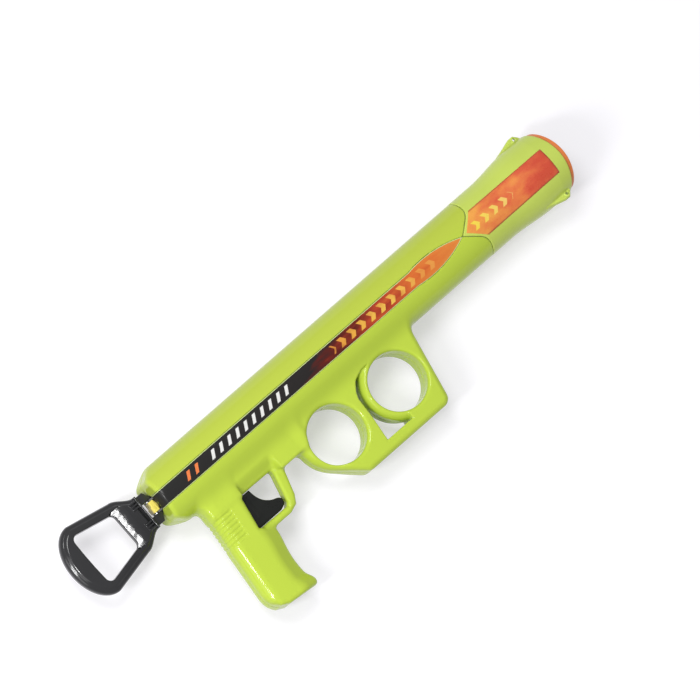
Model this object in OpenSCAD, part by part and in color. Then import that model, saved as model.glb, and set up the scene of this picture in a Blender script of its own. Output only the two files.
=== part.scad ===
// Dog tennis ball launcher: a spring plunger in a two-shell barrel, cocked by a pull handle.
// It lies on its side. X runs along the barrel to the muzzle, Y to the launcher's top,
// Z across the shell split. The origin is on the barrel axis at the funnel's mouth.

/* [Barrel] */
// Outside diameter of the barrel
barrel_d = 66; // [64:0.5:69]
// Wall of the barrel shells
barrel_wall = 2.5; // [2.3:0.1:3]
// Length from the rear face to the funnel seam
barrel_len = 430; // [420:1:450]
// Length of the rear end's bevels above and below
shoulder_len = 14.5; // [12:0.5:17]
// Height of the rear face between its bevels
rear_face_h = 45; // [43:0.5:48]
// Bevel round the edge of the rear face
rear_bevel = 3; // [2:0.1:3.4]
// Thickness of the rear wall
rear_wall = 4; // [3.5:0.5:5]

/* [Muzzle] */
// Length of the funnel from seam to mouth
funnel_len = 109; // [104:1:116]
// Largest outside diameter of the funnel
funnel_d = 74; // [73.5:0.5:77]
// Outside diameter at the mouth
mouth_d = 71.2; // [70.8:0.2:72.4]
// How far the mouth's sides reach past its top and bottom
mouth_dip = 7; // [5:0.5:9]
// Diameter of the bore that takes the ball
ball_bore_d = 66; // [65.4:0.1:66.6]
// Length of the ball bore
ball_bore_len = 48; // [44:1:52]
// Diameter of the throat behind the ball seat
throat_d = 52; // [50:0.5:54]
// Length of the pointed side tongues
tongue_len = 21.5; // [18:0.5:25]
// Height of the side tongues at the seam
tongue_h = 32.4; // [28:0.4:36]
// Thickness of the eyelet lugs
lug_t = 5; // [4:0.5:7]
// Diameter of the eyelets
eyelet_d = 3.2; // [2.6:0.1:3.6]
// Place of the eyelets behind the mouth
eyelet_set = 12.8; // [12:0.1:15]
// Turn of the lower lug about the barrel axis, from the upper one, in degrees
lug_turn = 158; // [150:1:180]

/* [Lip] */
// Inside diameter of the soft lip
lip_bore_d = 63; // [62.6:0.1:63.4]
// Length of the sleeve that sits in the funnel
lip_sleeve = 10; // [8:0.5:12]
// Wall of that sleeve
lip_wall = 2.5; // [2.2:0.1:2.6]
// How far the lip stands out of the mouth
lip_out = 4; // [3:0.1:5]

/* [Strips and labels] */
// Height of the side strips
strip_h = 16.6; // [14:0.2:18]
// Height of the pointed front end at its widest
strip_tip_h = 19.4; // [18.2:0.2:21]
// Depth of the strip channel
channel_depth = 1; // [0.8:0.1:1.2]
// Thickness of the strips
strip_t = 0.8; // [0.6:0.1:0.9]
// Height of the funnel labels
label_h = 31; // [26:0.5:32]
// Thickness of the funnel labels
label_t = 0.3; // [0.2:0.05:0.5]

/* [Ball holders] */
// Inside diameter of a ball holder
holder_d = 62; // [60:0.5:64]
// Wall of the front ball holder
holder_wall = 7; // [6:0.1:7.4]
// Reach of the frame behind the rear holder's centre
holder_back = 38.5; // [37:0.5:40]
// Reach of the frame's slanted edge from the rear holder's centre
holder_under = 35; // [34:0.5:37]
// Distance between the two holders
holder_pitch = 83; // [81:0.5:88]
// Rear holder's distance from the rear face
holder_set = 182.5; // [180:0.5:188]
// Thickness of the holder frame and receiver
frame_t = 34; // [32:0.5:36]
// Depth of the foot under the holders
frame_foot = 18; // [17:0.5:21]

/* [Grip] */
// Back of the grip, from the rear face
grip_set = 28; // [26:0.5:31]
// Length of the grip under the receiver
grip_len = 113; // [108:1:124]
// Front to back size of the grip
grip_depth = 53; // [51:0.5:57]
// Corner radius of the grip
grip_round = 12; // [9:0.5:13]
// Length of the bevels at the front of the grip
grip_bevel = 17; // [14:0.5:19]
// Width left flat at the front of the grip
grip_nose = 12; // [10:0.5:14]
// Lean of the grip in degrees
grip_lean = 6.5; // [5:0.5:8]
// Wall of the grip
grip_wall = 2.8; // [2.4:0.1:3.2]
// Number of ribs on the back of the grip
rib_count = 8; // [6:1:8]
// Distance between the ribs
rib_pitch = 4.6; // [4:0.1:4.8]
// How far the ribs reach forward from the back of the grip
rib_reach = 22; // [18:0.5:26]
// Height of the ribs
rib_h = 0.8; // [0.5:0.1:1]
// Thickness of the trigger guard
guard_t = 18; // [16:0.5:22]

/* [Plunger] */
// Diameter of the plunger rod
rod_d = 11; // [10:0.2:12]
// Pull of the handle from rest to cocked
stroke = 140; // [130:1:150]
// Wall of the launch tube
tube_wall = 2.2; // [1.8:0.1:2.6]
// Reach of the launch tube into the funnel
tube_reach = 17; // [15:0.5:20]
// Thickness of the rubber bumper
bumper_t = 4; // [3:0.5:5]
// Width of the bumper ring
bumper_w = 5.4; // [5:0.1:6.4]
// Length of the plunger head
head_len = 16; // [14:0.5:20]
// Front wall of the plunger head
head_wall = 5; // [4:0.5:6]
// Diameter of the striking pad
pad_d = 42; // [38:0.5:44]
// Thickness of the striking pad
pad_t = 8; // [6:0.5:9]
// Length of the catch collar
collar_len = 8; // [7:0.5:9]
// Thickness of the spring bulkhead
bulkhead_t = 6; // [5:0.5:8]
// Diameter of the rear guide bush
bush_d = 22; // [20:0.5:24]

/* [Springs] */
// Mean diameter of the main spring
spring_d = 31; // [29:0.5:33]
// Wire of the main spring
spring_wire = 2.4; // [2:0.1:2.8]
// Curls of the main spring
spring_curls = 20; // [16:1:22]
// Mean diameter of the trigger and latch springs
small_spring_d = 4.6; // [4.2:0.1:4.8]
// Wire of the trigger and latch springs
small_wire = 0.8; // [0.6:0.1:0.9]

/* [Trigger and latch] */
// Thickness of the trigger
trigger_t = 12.4; // [12:0.2:13.4]
// Travel of the trigger
trigger_travel = 6; // [5:0.5:6.5]
// Drop of the latch plate when the trigger is pulled
latch_drop = 4.3; // [3.8:0.1:4.6]
// Thickness of the latch plate
latch_t = 4; // [3.4:0.2:4.4]
// Diameter of the latch pin
latch_pin_d = 3; // [2.6:0.1:3.2]

/* [Handle] */
// Length of the pull handle behind the prongs
handle_len = 98; // [94:0.5:110]
// Height of the handle's loop
handle_h = 81; // [78:0.5:88]
// Thickness of the handle
handle_t = 16; // [14:0.5:18]
// Bar at the back of the loop
handle_bar = 20; // [17:0.5:22]
// Depth of the loop's rounded rear end
handle_bow = 27; // [24:0.5:30]
// Length of the curved run from the arms to the neck
neck_run = 24; // [21:0.5:27]
// Height of the loop where its arms turn to the neck
shoulder_h = 61.6; // [58:0.2:64]
// Width of the arms
handle_arm = 11.8; // [10:0.2:13]
// Corner radius of the hand hole
hand_round = 6; // [4:0.5:8]
// Front end of the hand hole, from the neck
hand_set = 27; // [25:0.5:29]
// Height of the neck and prongs
neck_h = 35.4; // [34:0.2:38]
// Height of the window between the prongs
window_h = 15; // [14.4:0.2:16]
// Length of the prongs
prong_len = 12.3; // [11.5:0.1:14]
// Bevel at the outer corner of each prong
prong_bevel = 4; // [3:0.1:4.4]
// Height left flat at the end of each prong
prong_tip = 2; // [1.6:0.1:3]
// Height of the yellow key
key_h = 12; // [11.4:0.2:13]
// Diameter of the handle's cross pin
cross_pin_d = 4; // [3:0.1:4.4]

/* [Screws and fits] */
// Shank diameter of the case screws
screw_d = 3; // [2.6:0.1:3.2]
// Head diameter of the case screws
screw_head_d = 6; // [5.4:0.1:6.4]
// Gap between moving parts
run_gap = 0.3; // [0.25:0.01:0.4]
// Gap at a stop
stop_gap = 0.4; // [0.3:0.05:0.6]
// Gap between fixed parts
seat_gap = 0.1; // [0.05:0.01:0.15]

/* [Hidden] */
$fn = 64;

body_r = barrel_d / 2;
bore_r = body_r - barrel_wall;
seam_x = -funnel_len;
rear_x = seam_x - barrel_len;
rear_r = rear_face_h / 2;
cone_t = (body_r - rear_r) / shoulder_len;
cone_c = cos(atan(cone_t));

gx = rear_x + grip_set;
ry = -(body_r + 15.5);
by = ry - grip_len;

hole_r = holder_d / 2;
ring_r = hole_r + holder_wall;
hold_y = -(body_r + 0.5 + hole_r);
hold_x = rear_x + holder_set;
fore_x = hold_x + holder_pitch;
foot_y = hold_y - hole_r - frame_foot;
half_t = frame_t / 2;

rod_r = rod_d / 2;
tube_r = bore_r - seat_gap;
tube_in = tube_r - tube_wall;
tube_x = seam_x + tube_reach;
head_x = tube_x - stop_gap;
head_r = tube_in - run_gap - 0.2;
latch_x = gx + 31;
latch_back = latch_x - latch_t / 2;
latch_pass = 0.7;
collar_r = rod_r + latch_drop + stop_gap - latch_pass;
collar_x = latch_back - 0.5 + stroke;
stop_rib = 3;
bulk_x = collar_x + 6 + stop_rib;
window_r = collar_r + latch_pass;

mouth_r = mouth_d / 2;
flare_r = funnel_d / 2;
seat_x = tube_x + bumper_t;
lug_r = flare_r + eyelet_d / 2 + 0.4;
lug_x = -eyelet_set;

handle_x = rear_x - stop_gap;
neck_x = handle_x - prong_len;
loop_x = neck_x - handle_len;

screw_seat = 8;
strip_front = seam_x - tongue_len - 0.8;
strip_low = bush_d / 2 + 1.2;

screws = [
  [rear_x + 40, 0.66 * body_r, 1],
  [gx + 111, 0.66 * body_r, 1],
  [bulk_x - stop_rib - 24, 0.66 * body_r, 1],
  [gx + 66, ry + 10, 2],
  [gx + 18, by + 16, 2],
  [gx + 20, ry - 57, 2],
  [hold_x + 10, foot_y + 7, 0],
  [fore_x + 14, foot_y + 7.5, 0],
  [hold_x + hole_r + 5, ry + 6, 0],
  [fore_x + hole_r + 4.2, hold_y + hole_r - 7, 0]
];

// Node to draw, or all

// Turns a list of [radius, x] points about the barrel axis
module turned(points) {
  rotate([0, 90, 0])
    rotate_extrude($fn = 96)
      polygon(points);
}

module across(half) {
  translate([0, 0, -half])
    linear_extrude(2 * half)
      children();
}

function smooth(k) = k * k * (3 - 2 * k);

// Side view of the barrel's bevelled rear end, drawn in by a depth
module rear_2d(in, front) {
  cut = rear_r - in / cone_c;
  wide = cut + 2 * shoulder_len * cone_t;
  polygon([
    [rear_x, cut], [rear_x + 2 * shoulder_len, wide], [front + 1, wide],
    [front + 1, -wide], [rear_x + 2 * shoulder_len, -wide], [rear_x, -cut]
  ]);
}

// The barrel's solid, drawn in by a depth
module barrel_solid(in, front) {
  rim = rear_bevel + in * (sqrt(2) - 1);
  intersection() {
    turned([
      [0, rear_x + in], [body_r - rim, rear_x + in], [body_r - in, rear_x + rim],
      [body_r - in, front], [0, front]
    ]);
    across(body_r + 2)
      rear_2d(in, front);
  }
}

// Pointed tongue outline, grown by a gap
module tongue_2d(gap) {
  polygon([
    [seam_x - tongue_len - 1.6 * gap, 0],
    [seam_x + 1, tongue_h / 2 + gap + 0.8],
    [seam_x + 1, -tongue_h / 2 - gap - 0.8]
  ]);
}

// Strip outline with its pointed end
module strip_2d(gap) {
  tip = 48;
  half = strip_tip_h / 2;
  r = (tip * tip + half * half) / (2 * half);
  translate([rear_x - 5, -strip_h / 2 - gap])
    square([strip_front - tip - rear_x + 5, strip_h + 2 * gap]);
  intersection() {
    translate([strip_front - tip, half - r])
      circle(r + gap, $fn = 200);
    translate([strip_front - tip, r - half])
      circle(r + gap, $fn = 200);
    translate([strip_front - tip - 16, -half - 2])
      square([tip + 30, 2 * half + 4]);
  }
}

// Frame round the two ball holders
module frame_2d() {
  lean = 41;
  nx = -sin(lean);
  ny = -cos(lean);
  px = hold_x + holder_under * nx;
  py = hold_y + holder_under * ny;
  run = (py - foot_y) / sin(lean);
  heel = 14;
  heel_x = hold_x - holder_back + heel;
  heel_y = hold_y + (holder_under - heel - (heel - holder_back) * nx) / ny;
  tip_x = fore_x + hole_r;
  bend = 10;
  polygon(concat(
    [
      [tip_x + 21, -8],
      [tip_x - 0.4, foot_y + bend]
    ],
    [for (k = [1 : 5]) [
      tip_x - 0.4 - bend + bend * cos(15 * k) - 0.1 * k,
      foot_y + bend - bend * sin(15 * k)
    ]],
    [
      [tip_x - bend - 2, foot_y],
      [px + run * cos(lean), foot_y]
    ],
    [for (k = [7 : -1 : 0]) let (a = 180 + 7 * k) [heel_x + heel * cos(a), heel_y + heel * sin(a)]],
    [[hold_x - holder_back, -8]]
  ));
}

// Crescent gap behind the front holder
module gap_2d() {
  difference() {
    polygon([
      [fore_x - 13, hold_y + hole_r + 2.5],
      [fore_x - 22, hold_y + hole_r + 2.5],
      [fore_x - 33, hold_y + 0.89 * hole_r],
      [fore_x - 40, hold_y + 0.61 * hole_r],
      [fore_x - 43, hold_y + 0.39 * hole_r],
      [fore_x - 44.5, hold_y - 10],
      [fore_x - 48, hold_y - hole_r - 5.6],
      [fore_x - 14, hold_y - hole_r - 5.6],
      [fore_x - 10, hold_y]
    ]);
    translate([fore_x, hold_y])
      circle(ring_r);
  }
}

// Bar that the grip is cut from, round at the back and bevelled in front, grown by a size
module grip_bar(grow) {
  r = grip_round + grow;
  x0 = -grow;
  x1 = grip_depth + grow;
  flat = half_t + 0.5;
  h = flat + grow;
  bevel_h = flat - grip_nose / 2;
  slant = norm([bevel_h, grip_bevel]);
  nose = grip_nose / 2 + grow * (slant - bevel_h) / grip_bevel;
  side = grip_depth - grip_bevel + grow * (slant - grip_bevel) / bevel_h;
  arc = [0, 15, 30, 45, 60, 75, 90];
  translate([gx, ry + 3.5, 0])
    rotate([0, 0, -grip_lean])
      rotate([90, 0, 0])
        translate([0, 0, -40])
          linear_extrude(grip_len + 70)
            polygon(concat(
              [[x1, nose], [side, h]],
              [for (a = arc) [x0 + r - r * sin(a), h - r + r * cos(a)]],
              [for (a = arc) [x0 + r - r * cos(a), r - h - r * sin(a)]],
              [[side, -h], [x1, -nose]]
            ));
}

module grip_2d(grow) {
  polygon([
    [gx - 30, -12],
    [gx - 30, by + 40],
    [gx - 14 - grow, by + 24],
    [gx - 8.2 - grow, by + 14 - grow],
    [gx - 2.5 - grow, by + 7.3 - grow],
    [gx + 5.8, by + 3.4 - grow],
    [gx + 42, by - grow],
    [gx + 75, by - grow],
    [gx + 75, ry - 36.4 + grow],
    [gx + 35.5 + grow, ry - 36.4 + grow],
    [gx + 41 + grow, ry + 3.5],
    [gx + 41 + grow, -12]
  ]);
}

module grip_solid(grow) {
  intersection() {
    grip_bar(grow);
    across(half_t + 2)
      grip_2d(grow);
  }
}

module grip_ribs() {
  intersection() {
    grip_bar(rib_h);
    for (k = [0 : rib_count - 1])
      translate([gx - 20, ry - 0.8 - rib_pitch * k, -half_t - 2])
        cube([20 + rib_reach, rib_pitch / 2, 2 * half_t + 4]);
  }
}

module guard_2d() {
  polygon([
    [gx + 99, ry + 4],
    [gx + 92.5, ry - 8.7],
    [gx + 84.2, ry - 33],
    [gx + 79.1, ry - 40.7],
    [gx + 69.7, ry - 44.1],
    [gx + 36, ry - 44.1],
    [gx + 36, ry - 36.4],
    [gx + 70, ry - 36.4],
    [gx + 73, ry - 33],
    [gx + 82.2, ry],
    [gx + 82.2, ry + 4]
  ]);
}

module shell_outside() {
  barrel_solid(0, seam_x - seat_gap);
  across(half_t) {
    translate([gx + 2, ry])
      square([98, -ry - 8]);
    translate([gx + 82, ry - 6.3])
      square([48, -ry - 8]);
    frame_2d();
  }
  grip_solid(0);
  grip_ribs();
  across(guard_t / 2)
    guard_2d();
}

module shell_inside() {
  intersection() {
    turned([
      [0, rear_x + rear_wall], [bore_r, rear_x + rear_wall], [bore_r, bulk_x - stop_rib],
      [bore_r - 5, bulk_x - stop_rib], [bore_r - 5, bulk_x],
      [bore_r, bulk_x], [bore_r, seam_x + 2], [0, seam_x + 2]
    ]);
    across(body_r)
      rear_2d(barrel_wall, seam_x + 2);
  }
  across(half_t - grip_wall) {
    translate([gx + 3.2, ry - 4])
      square([36, -ry - 14]);
    translate([gx + 43, ry + 2.8])
      square([72, -ry - 20]);
    translate([hold_x + 20, foot_y + 2.8])
      square([holder_pitch - 20, frame_foot / 2 - 1.7]);
  }
  grip_solid(-grip_wall);
}

module shell_fittings() {
  wall_z = half_t - 1;
  for (s = screws)
    if (s[2] == 2)
      translate([s[0], s[1], 0])
        cylinder(r = 5.4, h = wall_z);
  intersection() {
    for (s = screws)
      if (s[2] == 1)
        translate([s[0], s[1], 0])
          cylinder(r = 5.4, h = body_r);
    barrel_solid(barrel_wall / 2, seam_x);
  }
  for (side = [-1, 1])
    translate([latch_x + side * (latch_t / 2 + run_gap + 1.5) - 1.5, ry + 11.5, window_r + 0.6])
      cube([3, 11, wall_z - window_r - 0.6]);
  translate([latch_x - 5, ry - 24, 0])
    cube([10, 3, wall_z]);
  translate([gx - 2.4, ry - 34.6, 0])
    cube([11.4, 9, wall_z]);
}

module shell_cuts() {
  for (x = [hold_x, fore_x])
    translate([x, hold_y, -40])
      cylinder(r = hole_r, h = 80);
  across(40)
    gap_2d();
  across(60)
    tongue_2d(0.2);
  translate([gx + 24, ry - 36, -trigger_t / 2 - run_gap])
    cube([40, 36.1, trigger_t + 2 * run_gap]);
  translate([rear_x - 1, 0, 0])
    rotate([0, 90, 0])
      cylinder(d = bush_d + 2 * seat_gap, h = rear_wall + 2);
  difference() {
    translate([0, 0, strip_low - 0.2])
      linear_extrude(40)
        strip_2d(0.2);
    barrel_solid(channel_depth, seam_x + 2);
  }
}

// Right half of the case
module shell_half() {
  difference() {
    union() {
      difference() {
        shell_outside();
        shell_inside();
      }
      shell_fittings();
    }
    shell_cuts();
    translate([rear_x - 50, -300, -100])
      cube([-rear_x + 100, 400, 100]);
  }
}

module right_shell() {
  color([0.66, 0.78, 0.16])
    difference() {
      shell_half();
      for (s = screws)
        translate([s[0], s[1], -1])
          cylinder(d = screw_d + 2 * seat_gap, h = 11);
    }
}

module left_shell() {
  color([0.64, 0.76, 0.16])
    mirror([0, 0, 1])
      difference() {
        shell_half();
        for (s = screws)
          translate([s[0], s[1], 0]) {
            translate([0, 0, -1])
              cylinder(d = screw_d + 4 * seat_gap, h = 20);
            translate([0, 0, screw_seat])
              cylinder(d = screw_head_d + 4 * seat_gap, h = 40);
          }
      }
}

function flare_at(x) = x < -80 ? body_r
  : x < -28 ? body_r + (flare_r - body_r) * smooth((x + 80) / 52)
  : x < -14 ? flare_r
  : flare_r + (mouth_r - flare_r) * (x + 14) / 14;

flare_x = [-80, -70, -62, -54, -46, -38, -28, -14, mouth_dip / 2 + 1];

// What lies past the mouth, whose sides reach further than its top and bottom
module past_mouth(out) {
  cut_r = (mouth_r * mouth_r + mouth_dip * mouth_dip) / (2 * mouth_dip);
  translate([cut_r + out - mouth_dip / 2, 60, 0])
    rotate([90, 0, 0])
      cylinder(r = cut_r, h = 120, $fn = 200);
}

module muzzle_funnel() {
  bore = ball_bore_d / 2;
  lip_seat = lip_bore_d / 2 + lip_wall + seat_gap;
  color([0.68, 0.80, 0.18])
    difference() {
      union() {
        turned(concat(
          [[bore_r, seam_x], [body_r, seam_x]],
          [for (x = flare_x) [flare_at(x), x]],
          [
            [lip_seat, mouth_dip / 2 + 1], [lip_seat, -lip_sleeve - seat_gap],
            [bore, -lip_sleeve - seat_gap], [bore, -ball_bore_len],
            [throat_d / 2, seat_x + 3], [throat_d / 2, seat_x], [bore_r, seat_x]
          ]
        ));
        intersection() {
          turned([
            [bore_r, seam_x - tongue_len], [body_r, seam_x - tongue_len],
            [body_r, seam_x + 0.5], [bore_r, seam_x + 0.5]
          ]);
          across(60)
            polygon([
              [seam_x - tongue_len, 0],
              [seam_x + 0.4, tongue_h / 2 + 0.3],
              [seam_x + 0.4, -tongue_h / 2 - 0.3]
            ]);
        }
        for (turn = [0, lug_turn])
          rotate([turn, 0, 0])
            across(lug_t / 2)
              polygon([
                [lug_x - 24, flare_r - 1.2], [lug_x - 24, flare_r - 0.2], [lug_x - 4, lug_r + 3.6],
                [lug_x + 1, lug_r + 3.6], [lug_x + 5, lug_r - 0.6], [lug_x + 5, mouth_r - 0.6],
                [lug_x, mouth_r - 0.6]
              ]);
      }
      for (turn = [0, lug_turn])
        rotate([turn, 0, 0])
          translate([lug_x, lug_r, -10])
            cylinder(d = eyelet_d, h = 20);
      past_mouth(0);
      for (side = [0, 1])
        mirror([0, 0, side])
          label_half(label_t + seat_gap, -3, 0.25);
    }
}

module muzzle_lip() {
  in_r = lip_bore_d / 2;
  far = mouth_dip / 2 + lip_out + 1;
  color([0.87, 0.40, 0.14])
    difference() {
      turned([[in_r, -lip_sleeve], [in_r + lip_wall, -lip_sleeve], [in_r + lip_wall, far], [in_r, far]]);
      past_mouth(lip_out);
    }
}

module strip_half() {
  intersection() {
    difference() {
      barrel_solid(channel_depth - 0.05 - strip_t, seam_x);
      barrel_solid(channel_depth - 0.05, seam_x + 1);
    }
    translate([0, 0, strip_low])
      linear_extrude(40)
        strip_2d(0);
  }
}

module side_strip_right() {
  color([0.06, 0.06, 0.065])
    strip_half();
}

module side_strip_left() {
  color([0.06, 0.06, 0.065])
    mirror([0, 0, 1])
      strip_half();
}

// Shell of revolution over the funnel between two depths, kept inside the label's outline
module label_half(deep, shallow, grow) {
  half = label_h / 2 + grow;
  last = len(flare_x) - 2;
  intersection() {
    turned(concat(
      [[body_r - deep, seam_x - tongue_len - 2]],
      [for (k = [0 : last]) [flare_at(flare_x[k]) - deep, flare_x[k]]],
      [[flare_at(-8) - deep, -8], [flare_at(-8) - shallow, -8]],
      [for (k = [last : -1 : 0]) [flare_at(flare_x[k]) - shallow, flare_x[k]]],
      [[body_r - shallow, seam_x - tongue_len - 2]]
    ));
    translate([0, 0, 5])
      linear_extrude(60)
        polygon([
          [seam_x - tongue_len + 5 - 1.5 * grow, 0], [seam_x + 1.5 - grow, half],
          [-10.4 + grow, half - 0.6], [-10.4 + grow, 0.6 - half], [seam_x + 1.5 - grow, -half]
        ]);
  }
}

module front_label_right() {
  color([0.90, 0.42, 0.16])
    label_half(label_t + 0.05, 0.05, 0);
}

module front_label_left() {
  color([0.90, 0.42, 0.16])
    mirror([0, 0, 1])
      label_half(label_t + 0.05, 0.05, 0);
}

module launch_tube() {
  color([0.80, 0.82, 0.80])
    turned([
      [tube_in, bulk_x + bulkhead_t + seat_gap], [tube_r, bulk_x + bulkhead_t + seat_gap],
      [tube_r, tube_x], [tube_in, tube_x]
    ]);
}

module bumper() {
  color([0.10, 0.10, 0.10])
    turned([
      [tube_r - bumper_w, tube_x + 0.05], [tube_r, tube_x + 0.05],
      [tube_r, seat_x - 0.05], [tube_r - bumper_w, seat_x - 0.05]
    ]);
}

module bulkhead() {
  color([0.25, 0.26, 0.27])
    turned([
      [rod_r + run_gap, bulk_x + 0.05], [tube_r, bulk_x + 0.05],
      [tube_r, bulk_x + bulkhead_t], [spring_d / 2 - spring_wire, bulk_x + bulkhead_t],
      [spring_d / 2 - spring_wire, bulk_x + bulkhead_t + 4], [rod_r + run_gap, bulk_x + bulkhead_t + 4]
    ]);
}

module rear_bush() {
  color([0.20, 0.20, 0.21])
    turned([
      [rod_r + run_gap, rear_x + 0.2], [bush_d / 2, rear_x + 0.2],
      [bush_d / 2, rear_x + rear_wall + 0.05], [bush_d / 2 + 4, rear_x + rear_wall + 0.05],
      [bush_d / 2 + 4, rear_x + rear_wall + 4], [rod_r + run_gap, rear_x + rear_wall + 4]
    ]);
}

module case_screws() {
  color([0.30, 0.31, 0.32])
    for (s = screws)
      translate([s[0], s[1], 0]) {
        translate([0, 0, -screw_seat - 0.05])
          cylinder(d = screw_d, h = screw_seat + 9);
        translate([0, 0, -screw_seat - 2.4])
          cylinder(d = screw_head_d, h = 2.35);
      }
}

// One unbroken coil along X from 0 to a length
module coil(mean_d, wire, curls, length) {
  n = 8 * curls;
  sides = 6;
  pts = [
    for (i = [0 : n], j = [0 : sides - 1])
      let (
        a = 45 * i,
        r = mean_d / 2 + wire / 2 * cos(60 * j),
        x = wire / 2 + (length - wire) * i / n + wire / 2 * sin(60 * j)
      )
      [x, r * cos(a), r * sin(a)]
  ];
  skin = [
    for (i = [0 : n - 1], j = [0 : sides - 1], k = [0, 1])
      let (
        a = i * sides + j,
        b = i * sides + (j + 1) % sides
      )
      k == 0 ? [a, b, b + sides] : [a, b + sides, a + sides]
  ];
  ends = [
    [for (j = [sides - 1 : -1 : 0]) j],
    [for (j = [0 : sides - 1]) n * sides + j]
  ];
  polyhedron(points = pts, faces = concat(skin, ends), convexity = 10);
}

function coil_gap(wire, curls, length) = (length - wire) / curls - wire;

main_front = head_x - head_wall - 0.2;
main_back = bulk_x + bulkhead_t + 0.2;
trigger_spring_x = gx + 9.2;
trigger_spring_len = 17.6;
latch_spring_y = ry - 20.8;
latch_spring_len = 12.6;

echo("least gap in main_spring", coil_gap(spring_wire, spring_curls, main_front - main_back));
echo("least gap in trigger_spring", coil_gap(small_wire, 7, trigger_spring_len));
echo("least gap in latch_spring", coil_gap(small_wire, 5, latch_spring_len));

module main_spring() {
  color([0.62, 0.63, 0.65])
    translate([main_back, 0, 0])
      coil(spring_d, spring_wire, spring_curls, main_front - main_back);
}

module plunger_head() {
  hub_r = rod_r + seat_gap;
  groove = head_r - 2;
  skirt = groove - 2;
  mid = head_x - head_len / 2;
  color([0.85, 0.30, 0.12])
    turned([
      [screw_d / 2 + 0.6, head_x], [head_r, head_x],
      [head_r, mid + 2], [groove, mid + 2], [groove, mid - 2], [head_r, mid - 2],
      [head_r, head_x - head_len], [skirt, head_x - head_len], [skirt, head_x - head_wall],
      [hub_r + 3, head_x - head_wall], [hub_r + 3, head_x - head_len], [hub_r, head_x - head_len],
      [hub_r, head_x - head_wall + 2], [screw_d / 2 + 0.6, head_x - head_wall + 2]
    ]);
}

module head_seal() {
  mid = head_x - head_len / 2;
  color([0.08, 0.08, 0.08])
    turned([
      [head_r - 2 + seat_gap, mid - 1.8], [tube_in - run_gap, mid - 1.8],
      [tube_in - run_gap, mid + 1.8], [head_r - 2 + seat_gap, mid + 1.8]
    ]);
}

module striking_pad() {
  color([0.12, 0.12, 0.13])
    turned([
      [screw_head_d / 2 + 0.5, head_x + 0.05], [pad_d / 2, head_x + 0.05],
      [pad_d / 2, head_x + pad_t - 2], [pad_d / 2 - 2, head_x + pad_t],
      [screw_head_d / 2 + 0.5, head_x + pad_t]
    ]);
}

module head_screw() {
  color([0.55, 0.56, 0.58])
    turned([
      [0, head_x - head_wall - 12], [screw_d / 2, head_x - head_wall - 12],
      [screw_d / 2, head_x + 0.05], [screw_head_d / 2, head_x + 0.05],
      [screw_head_d / 2, head_x + 2.4], [0, head_x + 2.4]
    ]);
}

module plunger_rod() {
  front = head_x - head_wall + 1.9;
  color([0.90, 0.80, 0.14])
    difference() {
      turned([
        [0, handle_x - 7.6], [rod_r, handle_x - 7.6],
        [rod_r, front], [screw_d / 2 + seat_gap, front],
        [screw_d / 2 + seat_gap, front - 16], [0, front - 16]
      ]);
      translate([handle_x - 4, 0, 0])
        rotate([90, 0, 0])
          cylinder(d = cross_pin_d + 2 * seat_gap, h = 40, center = true);
      translate([collar_x - collar_len / 2, 0, 0])
        cylinder(d = 2 + 2 * seat_gap, h = 40, center = true);
    }
}

module catch_collar() {
  color([0.50, 0.51, 0.53])
    difference() {
      turned([
        [rod_r + seat_gap, collar_x - collar_len], [collar_r - 2.4, collar_x - collar_len],
        [collar_r, collar_x - 3], [collar_r, collar_x], [rod_r + seat_gap, collar_x]
      ]);
      translate([collar_x - collar_len / 2, 0, 0])
        cylinder(d = 2 + 2 * seat_gap, h = 40, center = true);
    }
}

module collar_pin() {
  color([0.66, 0.67, 0.70])
    translate([collar_x - collar_len / 2, 0, 0])
      cylinder(d = 2, h = 2 * collar_r - 3, center = true);
}

// Yellow block on the rod's rear end, seen in the handle's window
module rod_key() {
  color([0.93, 0.84, 0.20])
    difference() {
      union() {
        translate([handle_x - 7.6, -key_h / 2, -6.6])
          cube([7.4, key_h, 13.2]);
        translate([handle_x - 9.8, -key_h / 2, -6.6])
          cube([3, key_h * 0.55, 13.2]);
      }
      translate([handle_x - 7.7, 0, 0])
        rotate([0, 90, 0])
          cylinder(r = rod_r + seat_gap, h = 20);
      translate([handle_x - 4, 0, 0])
        rotate([90, 0, 0])
          cylinder(d = cross_pin_d + 2 * seat_gap, h = 40, center = true);
    }
}

// Outline of the handle: a half ellipse at the back, straight arms and a curved run to the neck
module loop_2d() {
  half = handle_h / 2;
  shoulder = shoulder_h / 2;
  neck = neck_h / 2 + 1.5;
  drop = shoulder - neck;
  upper = concat(
    [for (k = [0 : 8]) [neck_x - neck_run * k / 8, neck + drop * smooth(k / 8)]],
    [for (a = [90 : 9 : 180]) [loop_x + handle_bow * (1 + cos(a)), half * sin(a)]]
  );
  last = len(upper) - 2;
  polygon(concat(upper, [for (k = [last : -1 : 0]) [upper[k][0], -upper[k][1]]]));
}

// Arc of a round corner of the hand hole
function hand_arc(x, y, from, to) = [
  for (k = [0 : 6])
    let (a = from + (to - from) * k / 6)
    [x + hand_round * cos(a), y + hand_round * sin(a)]
];

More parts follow.
